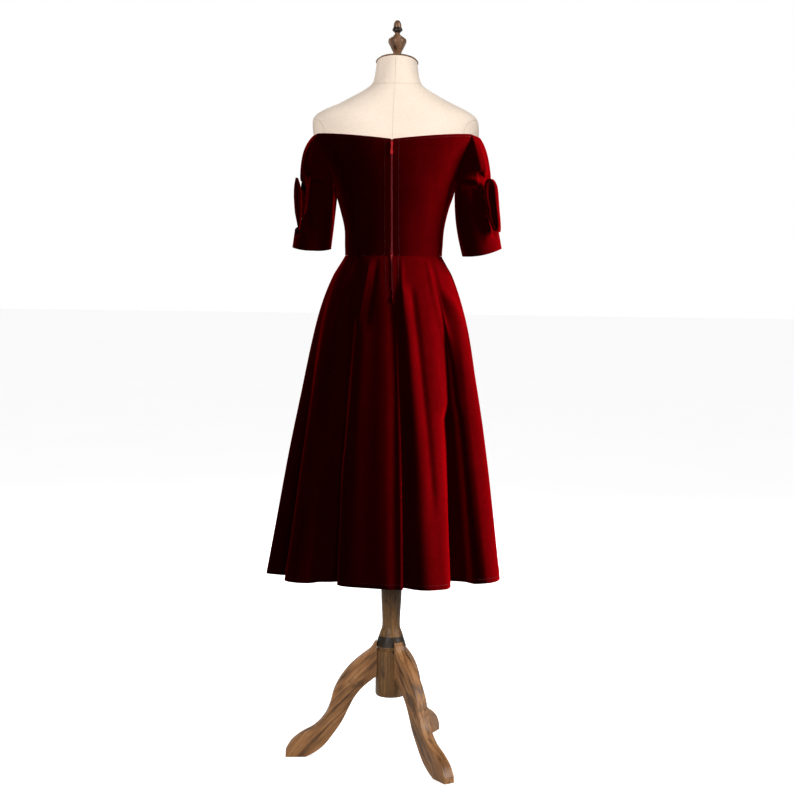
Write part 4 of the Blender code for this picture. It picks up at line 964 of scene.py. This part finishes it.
def leg_piece(number, angle):
    """A leg cut from a board, its edges rounded over, with its own grain and wear."""
    outline = smooth_line(LEG_UPPER[:-1], LEG_FINE) + [LEG_UPPER[-1]] + smooth_line(LEG_LOWER, LEG_FINE)
    outline = [(max(x, HUB_RADIUS - 0.002), z) for x, z in outline]
    half = LEG_THICK / 2
    work = bmesh.new()
    made = bmesh.ops.extrude_face_region(
        work, geom=[work.faces.new([work.verts.new((x, -half, z)) for x, z in outline])])
    for vert in (v for v in made["geom"] if isinstance(v, bmesh.types.BMVert)):
        vert.co.y = half
    bmesh.ops.remove_doubles(work, verts=work.verts, dist=0.00005)
    bmesh.ops.recalc_face_normals(work, faces=work.faces)
    mesh = bpy.data.meshes.new("leg draft")
    work.to_mesh(mesh)
    work.free()
    draft = linked("leg draft", mesh)
    rounding = draft.modifiers.new("rounded edges", "BEVEL")
    rounding.width, rounding.segments = LEG_ROUNDING, 5
    rounding.limit_method, rounding.angle_limit = "ANGLE", math.radians(60)
    plain = plain_mesh(draft)
    bpy.data.objects.remove(draft, do_unlink=True)
    plain.shade_smooth()
    slope = Matrix.Rotation(GRAIN_SLOPE, 3, "Y")
    shift = Vector((GRAIN_SHIFT * number, 0.0, 0.0))
    grain = [c for vert in plain.vertices for c in slope @ vert.co + shift]
    aslant = [abs(vert.normal.y) for vert in plain.vertices]
    wear = [soft_step((a - 0.2) / 0.3) * soft_step((0.97 - a) / 0.2) for a in aslant]
    plain.attributes.new("grain", "FLOAT_VECTOR", "POINT").data.foreach_set("vector", grain)
    plain.attributes.new("wear", "FLOAT", "POINT").data.foreach_set("value", wear)
    plain.transform(Matrix.Translation(AXIS) @ Matrix.Rotation(math.radians(angle), 4, "Z"))
    plain.set_sharp_from_angle(angle=math.radians(40))
    return linked("leg_%d_carved" % number, plain)


def stitch_form():
    """One stitch: a short rounded length of thread along its line."""
    return ringed("stitch form", [[p + Vector((0.0, 0.0, along * STITCH_LENGTH)) for p in circle(6, radius)]
                                  for along, radius in STITCH_RINGS], sharp=None, base=Vector())


def tooth_form():
    """One turn of the zip's coil, a wire ring across the zip."""
    rings = []
    for outward in circle(COIL_STEPS):
        x, y, _ = outward
        middle = Vector((COIL_HALF_WIDTH * x, COIL_HALF_HEIGHT * y, COIL_STEP / 4 * x))
        rings.append([middle + COIL_WIRE * (outward * p.x + Vector((0.0, 0.0, p.y))) for p in circle(5)])
    return ringed("coil turn form", rings, sharp=None, looped=True, base=Vector())


def repeated(name, lines, form, spacing, sway, finish):
    """A small form repeated at even steps along lines by Geometry Nodes, made one plain mesh."""
    points, edges = [], []
    for line, closed in lines:
        start = len(points)
        points += [tuple(p + AXIS) for p in line]
        edges += [(k, k + 1) for k in range(start, len(points) - 1)]
        if closed:
            edges.append((len(points) - 1, start))
    mesh = bpy.data.meshes.new(name)
    mesh.from_pydata(points, edges, [])
    item = linked(name, mesh)
    tree = bpy.data.node_groups.new(name + " row", "GeometryNodeTree")
    tree.interface.new_socket("Geometry", in_out="OUTPUT", socket_type="NodeSocketGeometry")
    tree.interface.new_socket("Geometry", in_out="INPUT", socket_type="NodeSocketGeometry")
    inputs = {"Form": ("Object", form), "Spacing": ("Float", spacing), "Sway": ("Float", sway),
              "Seed": ("Int", STITCH_SEED), "Finish": ("Material", finish)}
    found = {label: tree.interface.new_socket(label, in_out="INPUT", socket_type="NodeSocket" + kind)
             for label, (kind, _) in inputs.items()}
    start, end, curve, steps, source, copies, uneven, swayed, low, solid, coloured = (
        tree.nodes.new(kind) for kind in (
            "NodeGroupInput", "NodeGroupOutput", "GeometryNodeMeshToCurve", "GeometryNodeCurveToPoints",
            "GeometryNodeObjectInfo", "GeometryNodeInstanceOnPoints", "FunctionNodeRandomValue",
            "GeometryNodeRotateInstances", "ShaderNodeMath", "GeometryNodeRealizeInstances",
            "GeometryNodeSetMaterial"))
    steps.mode, uneven.data_type, low.operation = "LENGTH", "FLOAT_VECTOR", "MULTIPLY"
    low.inputs[1].default_value = -1.0
    for a, out, b, into in (
            (start, "Geometry", curve, 0), (curve, 0, steps, 0), (start, "Spacing", steps, "Length"),
            (start, "Form", source, "Object"), (steps, "Points", copies, "Points"),
            (source, "Geometry", copies, "Instance"), (steps, "Rotation", copies, "Rotation"),
            (start, "Sway", uneven, 1), (start, "Sway", low, 0), (low, 0, uneven, 0),
            (start, "Seed", uneven, "Seed"), (copies, 0, swayed, "Instances"),
            (uneven, 0, swayed, "Rotation"), (swayed, 0, solid, 0), (solid, 0, coloured, "Geometry"),
            (start, "Finish", coloured, "Material"), (coloured, 0, end, 0)):
        tree.links.new(a.outputs[out], b.inputs[into])
    rows = item.modifiers.new("rows", "NODES")
    rows.node_group = tree
    for label, (_, value) in inputs.items():
        rows[found[label].identifier] = value
    plain = plain_mesh(item)
    item.modifiers.remove(rows)
    item.data = plain
    plain.shade_smooth()
    return item


class Value:
    """A number in a material, so that shader maths is written as plain arithmetic."""

    def __init__(self, finish, socket):
        self.finish, self.socket = finish, socket

    def maths(self, operation, *values):
        return self.finish.node("ShaderNodeMath", values, operation=operation)

    def __add__(self, other):
        return self.maths("ADD", self, other)

    def __sub__(self, other):
        return self.maths("SUBTRACT", self, other)

    def __mul__(self, other):
        return self.maths("MULTIPLY", self, other)

    def __truediv__(self, other):
        return self.maths("DIVIDE", self, other)

    def __pow__(self, other):
        return self.maths("POWER", self, other)

    def __abs__(self):
        return self.maths("ABSOLUTE", self)

    def larger(self, other):
        return self.maths("MAXIMUM", self, other)

    def sine(self):
        return self.maths("SINE", self)

    def between(self, low, high, start=0.0, end=1.0):
        """A smooth change from start to end while this number goes from low to high."""
        return self.finish.node("ShaderNodeMapRange", {"Value": self, "From Min": low, "From Max": high,
                                                       "To Min": start, "To Max": end},
                                interpolation_type="SMOOTHSTEP")


class Finish:
    """A material that is built up from values."""

    def __init__(self, name, **constants):
        self.material = bpy.data.materials.new(name)
        self.material.use_nodes = True
        self.tree = self.material.node_tree
        self.shader = self.tree.nodes["Principled BSDF"]
        self.place = self.node("ShaderNodeTexCoord", output="Object")
        for socket, number in constants.items():
            self.shader.inputs[socket.replace("_", " ")].default_value = number

    def node(self, kind, values=(), output=0, **settings):
        """Any node: its settings first, then the values or links of its sockets."""
        made = self.tree.nodes.new(kind)
        for setting, choice in settings.items():
            setattr(made, setting, choice)
        for key, value in (values.items() if isinstance(values, dict) else enumerate(values)):
            if isinstance(value, Value):
                self.tree.links.new(value.socket, made.inputs[key])
            else:
                made.inputs[key].default_value = value
        return Value(self, made.outputs[output])

    def parts(self):
        split = self.node("ShaderNodeSeparateXYZ", {"Vector": self.place})
        return [Value(self, socket) for socket in split.socket.node.outputs]

    def noise(self, scale, detail=3.0, roughness=0.5, distortion=0.0, sizes=None, vector=None):
        """Noise at the place or another vector, stretched by sizes where they are given."""
        vector = vector or self.place
        if sizes:
            vector = self.node("ShaderNodeVectorMath", (vector, sizes), operation="MULTIPLY")
        return self.node("ShaderNodeTexNoise", {"Vector": vector, "Scale": scale, "Detail": detail,
                                                "Roughness": roughness, "Distortion": distortion})

    def colours(self, share, *stops):
        """A colour from a share, by stops of a position and a colour."""
        made = self.node("ShaderNodeValToRGB", {"Fac": share})
        ramp = made.socket.node.color_ramp
        while len(ramp.elements) < len(stops):
            ramp.elements.new(0.5)
        for element, (position, colour) in zip(ramp.elements, stops):
            element.position, element.color = position, (*colour, 1.0)
        return made

    def mix(self, share, first, second):
        pair = [(*c, 1.0) if isinstance(c, tuple) else c for c in (first, second)]
        return self.node("ShaderNodeMix", {0: share, 6: pair[0], 7: pair[1]}, output=2, data_type="RGBA")

    def bump(self, height, strength, distance, under=None):
        values = {"Height": height, "Strength": strength, "Distance": distance}
        if under:
            values["Normal"] = under
        return self.node("ShaderNodeBump", values)

    def drive(self, **links):
        for socket, value in links.items():
            self.tree.links.new(value.socket, self.shader.inputs[socket.replace("_", " ")])
        return self.material


def velvet_finish():
    """Deep wine velvet: a dark pile that glows red where it is lit and seen aslant."""
    cloth = Finish("wine velvet", Sheen_Weight=1.0, Sheen_Roughness=0.35, Roughness=0.8,
                   Sheen_Tint=(1.0, 0.002, 0.008, 1.0), Specular_IOR_Level=0.0)
    lay = cloth.noise(30.0, sizes=(1.0, 1.0, 0.25))
    pile, rub = cloth.noise(900.0, 2.0, 0.6), cloth.noise(70.0, 4.0, 0.6)
    colour = cloth.colours(lay * 0.6 + rub * 0.4, (0.30, (0.044, 0.0002, 0.0007)),
                           (0.52, (0.056, 0.0003, 0.0009)), (0.72, (0.070, 0.0004, 0.0012)))
    x, y, z = cloth.parts()
    start, end = ((z - NAP_TOP) * slope - reach + AXIS_X for slope, reach in NAP_LINES)
    rise = (start - x) / (start - end)
    turn = rise.between(0.0, 1.0) * z.between(0.94, 1.10, NAP_RISE, 0.0) * y.between(0.0, 0.03)
    relief = cloth.bump(lay, 0.15, 0.0010, cloth.bump(pile, 0.3, 0.0003, cloth.bump(turn, 1.0, 1.0)))
    return cloth.drive(Base_Color=colour, Normal=relief)


def cream_finish():
    """The form's cream cover: a fine weave, with sewn seams pressed into the padding."""
    cloth = Finish("cream form cloth", Sheen_Weight=0.15, Sheen_Roughness=0.5, Roughness=0.9,
                   Specular_IOR_Level=0.2)
    x, y, z = cloth.parts()
    x, y = x - AXIS_X, y - AXIS_Y
    side, drop = abs(x) - CAP_SEAM_REACH, z - CAP_SEAM_HEIGHT
    off_middle, off_neck = abs(x), abs(z - NECK_SEAM_HEIGHT + y * NECK_SEAM_SLOPE)
    off_cap = abs((side * side + drop * drop) ** 0.5 - CAP_SEAM_RADIUS)
    middle, neck, cap = (off.between(0.0, SEAM_WIDTH, 1.0, 0.0) for off in (off_middle, off_neck, off_cap))
    seam = middle.larger(neck).larger(cap * abs(x).between(0.150, 0.156))
    weave = (x * WEAVE).sine() * (z * WEAVE).sine() + cloth.noise(700.0, 2.0) * 0.8
    tone = cloth.noise(9.0, 4.0, 0.6) * 0.6 + cloth.noise(160.0) * 0.4
    colour = cloth.colours(tone, (0.3, (0.80, 0.68, 0.57)), (0.55, (0.86, 0.74, 0.63)),
                           (0.75, (0.90, 0.79, 0.68)))
    colour = cloth.mix(seam * 0.22, colour, (0.42, 0.33, 0.25))
    relief = cloth.bump(weave, 0.18, 0.0002, cloth.bump(seam * -1.0, 0.8, 0.0008))
    return cloth.drive(Base_Color=colour, Normal=relief)


def wood_finish(name, light, middle, dark, worn=None, roughness=0.48, ring=None, slot=False):
    """Stained wood with its grain and dark patches; boards have stain rubbed off at the edges. A ring is a
    near-black band of painted shade between two heights, and a slot is a dark patch of painted shade.
    """
    wood = Finish(name, Specular_IOR_Level=0.4)
    x, y, z = wood.parts()
    if worn:
        board = wood.node("ShaderNodeAttribute", output="Vector", attribute_name="grain")
        wear = wood.node("ShaderNodeAttribute", output="Fac", attribute_name="wear")
        lines = wood.noise(1.0, 5.0, 0.62, 0.6, (7.0, 110.0, 110.0), board)
        patches = wood.noise(1.0, 4.0, 0.6, 0.0, (14.0, 30.0, 30.0), board)
    else:
        lines = wood.noise(1.0, 5.0, 0.62, 0.6, (150.0, 150.0, 9.0))
        patches = wood.noise(1.0, 4.0, 0.6, 0.0, (34.0, 34.0, 14.0))
    colour = wood.colours(lines * 0.65 + patches * 0.35, (0.34, dark), (0.50, middle), (0.66, light))
    colour = wood.mix(patches.between(0.56, 0.68, 0.0, 0.75), colour, dark)
    rough = lines.between(0.3, 0.7, roughness - 0.08, roughness + 0.14)
    if worn:
        rubbed = wear * wood.noise(1.0, 4.0, 0.65, 0.0, (22.0, 22.0, 22.0), board).between(0.47, 0.60)
        colour = wood.mix(rubbed, colour, worn)
        rough = rough + rubbed * 0.1
    # A ring is a near-black band painted round the piece between two heights. It is painted shade at the
    # column's foot, where the legs meet it above the hub, and round the finial's collar above its narrow
    # neck.
    if ring:
        low, high = ring
        band = z.between(low - 0.002, low) * z.between(high, high + 0.003, 1.0, 0.0)
        colour = wood.mix(band * 0.92, colour, (0.012, 0.007, 0.004))
    # A near-black patch on the column's foot is painted shade: the dark opening of a slot that is not
    # modelled.
    if slot:
        beside, above = x - AXIS_X + SLOT_REACH, z - SLOT_HEIGHT
        along, across = (beside + above) * 41.0, (beside - above) * 100.0
        slot_shade = (along * along + across * across).between(0.6, 1.0, 1.0, 0.0) * y.between(0.0, 0.01)
        colour = wood.mix(slot_shade * 0.95, colour, (0.008, 0.005, 0.003))
    relief = wood.bump(lines, 0.35, 0.0006, wood.bump(patches, 0.25, 0.0012))
    return wood.drive(Base_Color=colour, Roughness=rough, Normal=relief)


def zip_finishes():
    """The zip's woven tape, the lacquer of its slider and pull tab, and its nylon coil."""
    tape = Finish("red zip tape", Roughness=0.7, Sheen_Weight=0.3, Sheen_Tint=(1.0, 0.1, 0.1, 1.0))
    x, _, z = tape.parts()
    ribs = (z * TAPE_RIBS).sine() * 0.5 + (x * TAPE_RIBS).sine() * 0.5
    colour = tape.colours(tape.noise(300.0), (0.3, (0.16, 0.003, 0.006)), (0.7, (0.30, 0.006, 0.012)))
    tape.drive(Base_Color=colour, Normal=tape.bump(ribs, 0.4, 0.0002))
    metal = Finish("red zip lacquer", Metallic=0.0, Coat_Weight=0.6, Coat_Roughness=0.15)
    rub = metal.noise(420.0, 4.0, 0.6).between(0.60, 0.74)
    metal.drive(Base_Color=metal.mix(rub, (0.62, 0.010, 0.020), (0.70, 0.36, 0.32)), Metallic=rub,
                Roughness=rub * 0.2 + 0.28, Normal=metal.bump(metal.noise(900.0, 2.0), 0.15, 0.0001))
    coil = Finish("red zip coil", Specular_IOR_Level=0.5)
    tone = coil.noise(900.0, 2.0)
    colour = coil.colours(tone, (0.3, (0.20, 0.004, 0.009)), (0.7, (0.34, 0.008, 0.016)))
    coil.drive(Base_Color=colour, Roughness=tone.between(0.3, 0.7, 0.30, 0.45),
               Normal=coil.bump(tone, 0.2, 0.0001))
    return tape.material, metal.material, coil.material


def thread_finish():
    """Sewing thread in the cloth's colour."""
    thread = Finish("wine thread", Roughness=0.55, Specular_IOR_Level=0.3)
    tone = thread.noise(1500.0, 2.0)
    colour = thread.colours(tone, (0.3, (0.045, 0.0008, 0.0025)), (0.7, (0.11, 0.002, 0.006)))
    return thread.drive(Base_Color=colour, Normal=thread.bump(tone, 0.4, 0.0001))


def floor_finish():
    """The studio's plain pale floor."""
    floor = Finish("pale floor", Roughness=0.9, Specular_IOR_Level=0.0, Emission_Color=(1.0, 1.0, 1.0, 1.0),
                   Emission_Strength=0.72)
    return floor.drive(Base_Color=floor.colours(floor.noise(1.5), (0.2, (0.62,) * 3), (0.8, (0.65,) * 3)))


MAIN_CREASES = sleeve_lines([row[1:] for row in SLEEVE_CREASES])
grids = {
    "bodice_front": bodice_grid(-1, -1.0, 1.0),
    "bodice_back_left": bodice_grid(1, 0.0, 1.0),
    "bodice_back_right": bodice_grid(1, -1.0, 0.0),
    "skirt_back_left": skirt_grid(LEFT_SEAM, BACK_SEAM),
    "skirt_back_right": skirt_grid(BACK_SEAM, RIGHT_SEAM),
    "skirt_front": skirt_grid(RIGHT_SEAM, LEFT_SEAM + len(SKIRT_FOLDS)),
}
for sleeve in SLEEVES:
    grids["sleeve_" + sleeve[0]] = sleeve_grid(sleeve)
    grids["bow_" + sleeve[0]] = bow_grid(sleeve)
    grids["bow_knot_" + sleeve[0]] = knot_grid(sleeve)
pieces = {}
for name, grid in grids.items():
    free = {"bodice": ("top",), "skirt": ("bottom",)}.get(name.split("_")[0], ("bottom", "top"))
    pieces[name] = cloth_piece(name + "_velvet", grid, free)
pieces["form_torso"] = make_torso()
pieces["neck_cap"] = turned("neck_cap_turned", CAP_PROFILE, steps=96, fine=1, middle=NECK_MIDDLE,
                            tilt=math.atan(NECK_SLOPE), base=NECK_TOP)
finial_foot = ((BOSS_RADIUS, BOSS_TOP), (BOSS_RADIUS, NECK_TOP + 0.006))
pieces["finial"] = turned("finial_turned", FINIAL_PROFILE + finial_foot, middle=NECK_MIDDLE)
pieces["column"] = turned("column_turned", COLUMN_PROFILE)
pieces["hub"] = turned("hub_turned", HUB_PROFILE, fine=1)
for number, angle in enumerate(LEG_ANGLES, start=1):
    pieces["leg_%d" % number] = leg_piece(number, angle)
for name, piece in pieces.items():
    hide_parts(name)

# Stitches along the dress's edges and beside the zip, and the zip's coil
tape_red, lacquer, coil_red = zip_finishes()
thread, stitch, tooth, sewn = thread_finish(), stitch_form(), tooth_form(), {}
for name, grid in grids.items():
    if name.startswith("bow"):
        continue
    lines = []
    if not name.startswith("skirt"):
        lines.append((grid.line("top", NECK_STITCH), grid.closed))
    if not name.startswith("bodice"):
        lines.append((grid.line("bottom", HEM_STITCH), grid.closed))
    if "_back_" in name:
        at_start = name in ("bodice_back_left", "skirt_back_right")
        beside = [p for p in grid.line("start" if at_start else "end", ZIP_STITCH)
                  if p.z > ZIP_END - ZIP_STITCH]
        if name.startswith("skirt"):
            edge = [row[0 if at_start else -1] for row in grid.rows]
            low = min(edge, key=lambda p: abs(p.z - beside[0].z))
            beside = [low.lerp(beside[0], 0.15)] + beside
        lines.append((beside, False))
    sewn[name] = repeated(name + "_stitches", lines, stitch, STITCH_STEP, STITCH_SWAY, thread)
middle = []
for left, right, at_left, at_right in (("skirt_back_left", "skirt_back_right", -1, 0),
                                       ("bodice_back_left", "bodice_back_right", 0, -1)):
    for a, b in zip(grids[left].rows, grids[right].rows):
        point = (a[at_left] + b[at_right]) / 2
        if ZIP_END + COIL_LEAD < point.z < COIL_TOP:
            middle.append(point - Vector((0.0, WALL - ZIP_THICK, 0.0)))
coil = repeated("zip_coil", [(middle, False)], tooth, COIL_STEP, 0.0, coil_red)
for form in (stitch, tooth):
    bpy.data.objects.remove(form, do_unlink=True)
for item in (*sewn.values(), coil):
    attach(item, BODY)
for name, width, length, area, held, under in CUTS:
    [sewn[name]] if name in sewn else []

# Each piece's finish, by the start of its node's name; the slot found beside it is not used
velvet = velvet_finish()
# The rings given to the turned woods are bands of painted shade.
turned_wood = wood_finish("brown turned wood", (0.34, 0.185, 0.070), (0.200, 0.105, 0.038),
                          (0.050, 0.025, 0.011), ring=(0.275, 0.297), slot=True)
dark_wood = wood_finish("dark turned wood", (0.420, 0.260, 0.160), (0.240, 0.130, 0.072),
                        (0.050, 0.024, 0.014), roughness=0.36, ring=(1.7415, 1.7510))
board_wood = wood_finish("brown leg wood", (0.54, 0.300, 0.140), (0.330, 0.165, 0.068),
                         (0.060, 0.028, 0.012), worn=(0.74, 0.52, 0.33))
finishes = {"form": (cream_finish(), "cream_cloth"), "leg": (board_wood, "wood"),
            "neck": (dark_wood, "dark_wood"), "finial": (dark_wood, "dark_wood"),
            "column": (turned_wood, "wood"), "hub": (turned_wood, "wood")}
for name, piece in pieces.items():
    finish, slot = finishes.get(name.split("_")[0], (velvet, "velvet"))
    piece.data.materials.append(finish)
    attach(piece, BODY)
for name, finish in (("zip_tape", tape_red), ("zip_slider", lacquer), ("zip_pull", lacquer)):
    node = frame["nodes"][name]
    node.data.materials.clear()
    node.data.materials.append(finish)

floor_mesh = bpy.data.meshes.new("floor")
corners = [(-FLOOR_REACH, -FLOOR_REACH, 0), (FLOOR_REACH, -FLOOR_REACH, 0), (FLOOR_REACH, FLOOR_REACH, 0),
           (-FLOOR_REACH, FLOOR_REACH, 0)]
floor_mesh.from_pydata(corners, [], [(0, 1, 2, 3)])
floor_mesh.materials.append(floor_finish())
floor = linked("floor", floor_mesh)
floor.visible_diffuse = False

# Lamps light the velvet, the other pieces or all of them, and point at the dress's middle
lit = {"velvet": bpy.data.collections.new("lit as velvet"),
       "others": bpy.data.collections.new("lit as form"), "all": None}
for item in bpy.context.scene.objects:
    if item.type == "MESH":
        red = item.name.endswith(("_velvet", "_stitches")) or item.name.startswith("zip")
        lit["velvet" if red else "others"].objects.link(item)
for name, onto, kind, energy, place, size in LAMPS:
    lamp = bpy.data.lights.new(name, kind)
    lamp.energy = energy
    if kind == "SUN":
        lamp.angle = math.radians(size)
    else:
        lamp.shape, lamp.size = "SQUARE", size
    item = linked(name, lamp)
    item.location = place
    item.rotation_euler = (LAMP_AIM - Vector(place)).to_track_quat("-Z", "Y").to_euler()
    item.light_linking.receiver_collection = lit[onto]

# A faint light from all round, and a white backdrop that only the camera sees
scene = bpy.context.scene
scene.world = bpy.data.worlds.new("studio")
scene.world.use_nodes = True
sky = scene.world.node_tree
ambient, backdrop = sky.nodes["Background"], sky.nodes.new("ShaderNodeBackground")
ambient.inputs["Color"].default_value = (1.0, 0.98, 0.96, 1.0)
ambient.inputs["Strength"].default_value = AMBIENT
backdrop.inputs["Color"].default_value = (1.0, 1.0, 1.0, 1.0)
ray, either = sky.nodes.new("ShaderNodeLightPath"), sky.nodes.new("ShaderNodeMixShader")
for out, into in ((ray.outputs["Is Camera Ray"], either.inputs[0]), (ambient.outputs[0], either.inputs[1]),
                  (backdrop.outputs[0], either.inputs[2]),
                  (either.outputs[0], sky.nodes["World Output"].inputs["Surface"])):
    sky.links.new(out, into)
scene.view_settings.view_transform = "Standard"
scene.view_settings.gamma = 0.85

# The photo's camera, behind the dress: it looks a little down, and the picture leans slightly
camera = bpy.data.cameras.new("camera")
camera.lens, camera.sensor_width = CAMERA_LENS, 36.0
sideways = Vector((math.cos(CAMERA_AZIMUTH), math.sin(CAMERA_AZIMUTH), 0.0))
backwards = Vector((math.sin(CAMERA_AZIMUTH), -math.cos(CAMERA_AZIMUTH), 0.0))
level = -backwards * math.cos(CAMERA_YAW) - sideways * math.sin(CAMERA_YAW)
ahead = level * math.cos(CAMERA_PITCH) - Vector((0.0, 0.0, math.sin(CAMERA_PITCH)))
right = Vector((level.y, -level.x, 0.0))
upward = right.cross(ahead)
picture_right = right * math.cos(CAMERA_ROLL) + upward * math.sin(CAMERA_ROLL)
picture_up = upward * math.cos(CAMERA_ROLL) - right * math.sin(CAMERA_ROLL)
place = Matrix((picture_right, picture_up, -ahead)).transposed().to_4x4()
place.translation = AXIS + backwards * CAMERA_DISTANCE + Vector((0.0, 0.0, CAMERA_HEIGHT))
scene.camera = linked("camera", camera)
scene.camera.matrix_world = place
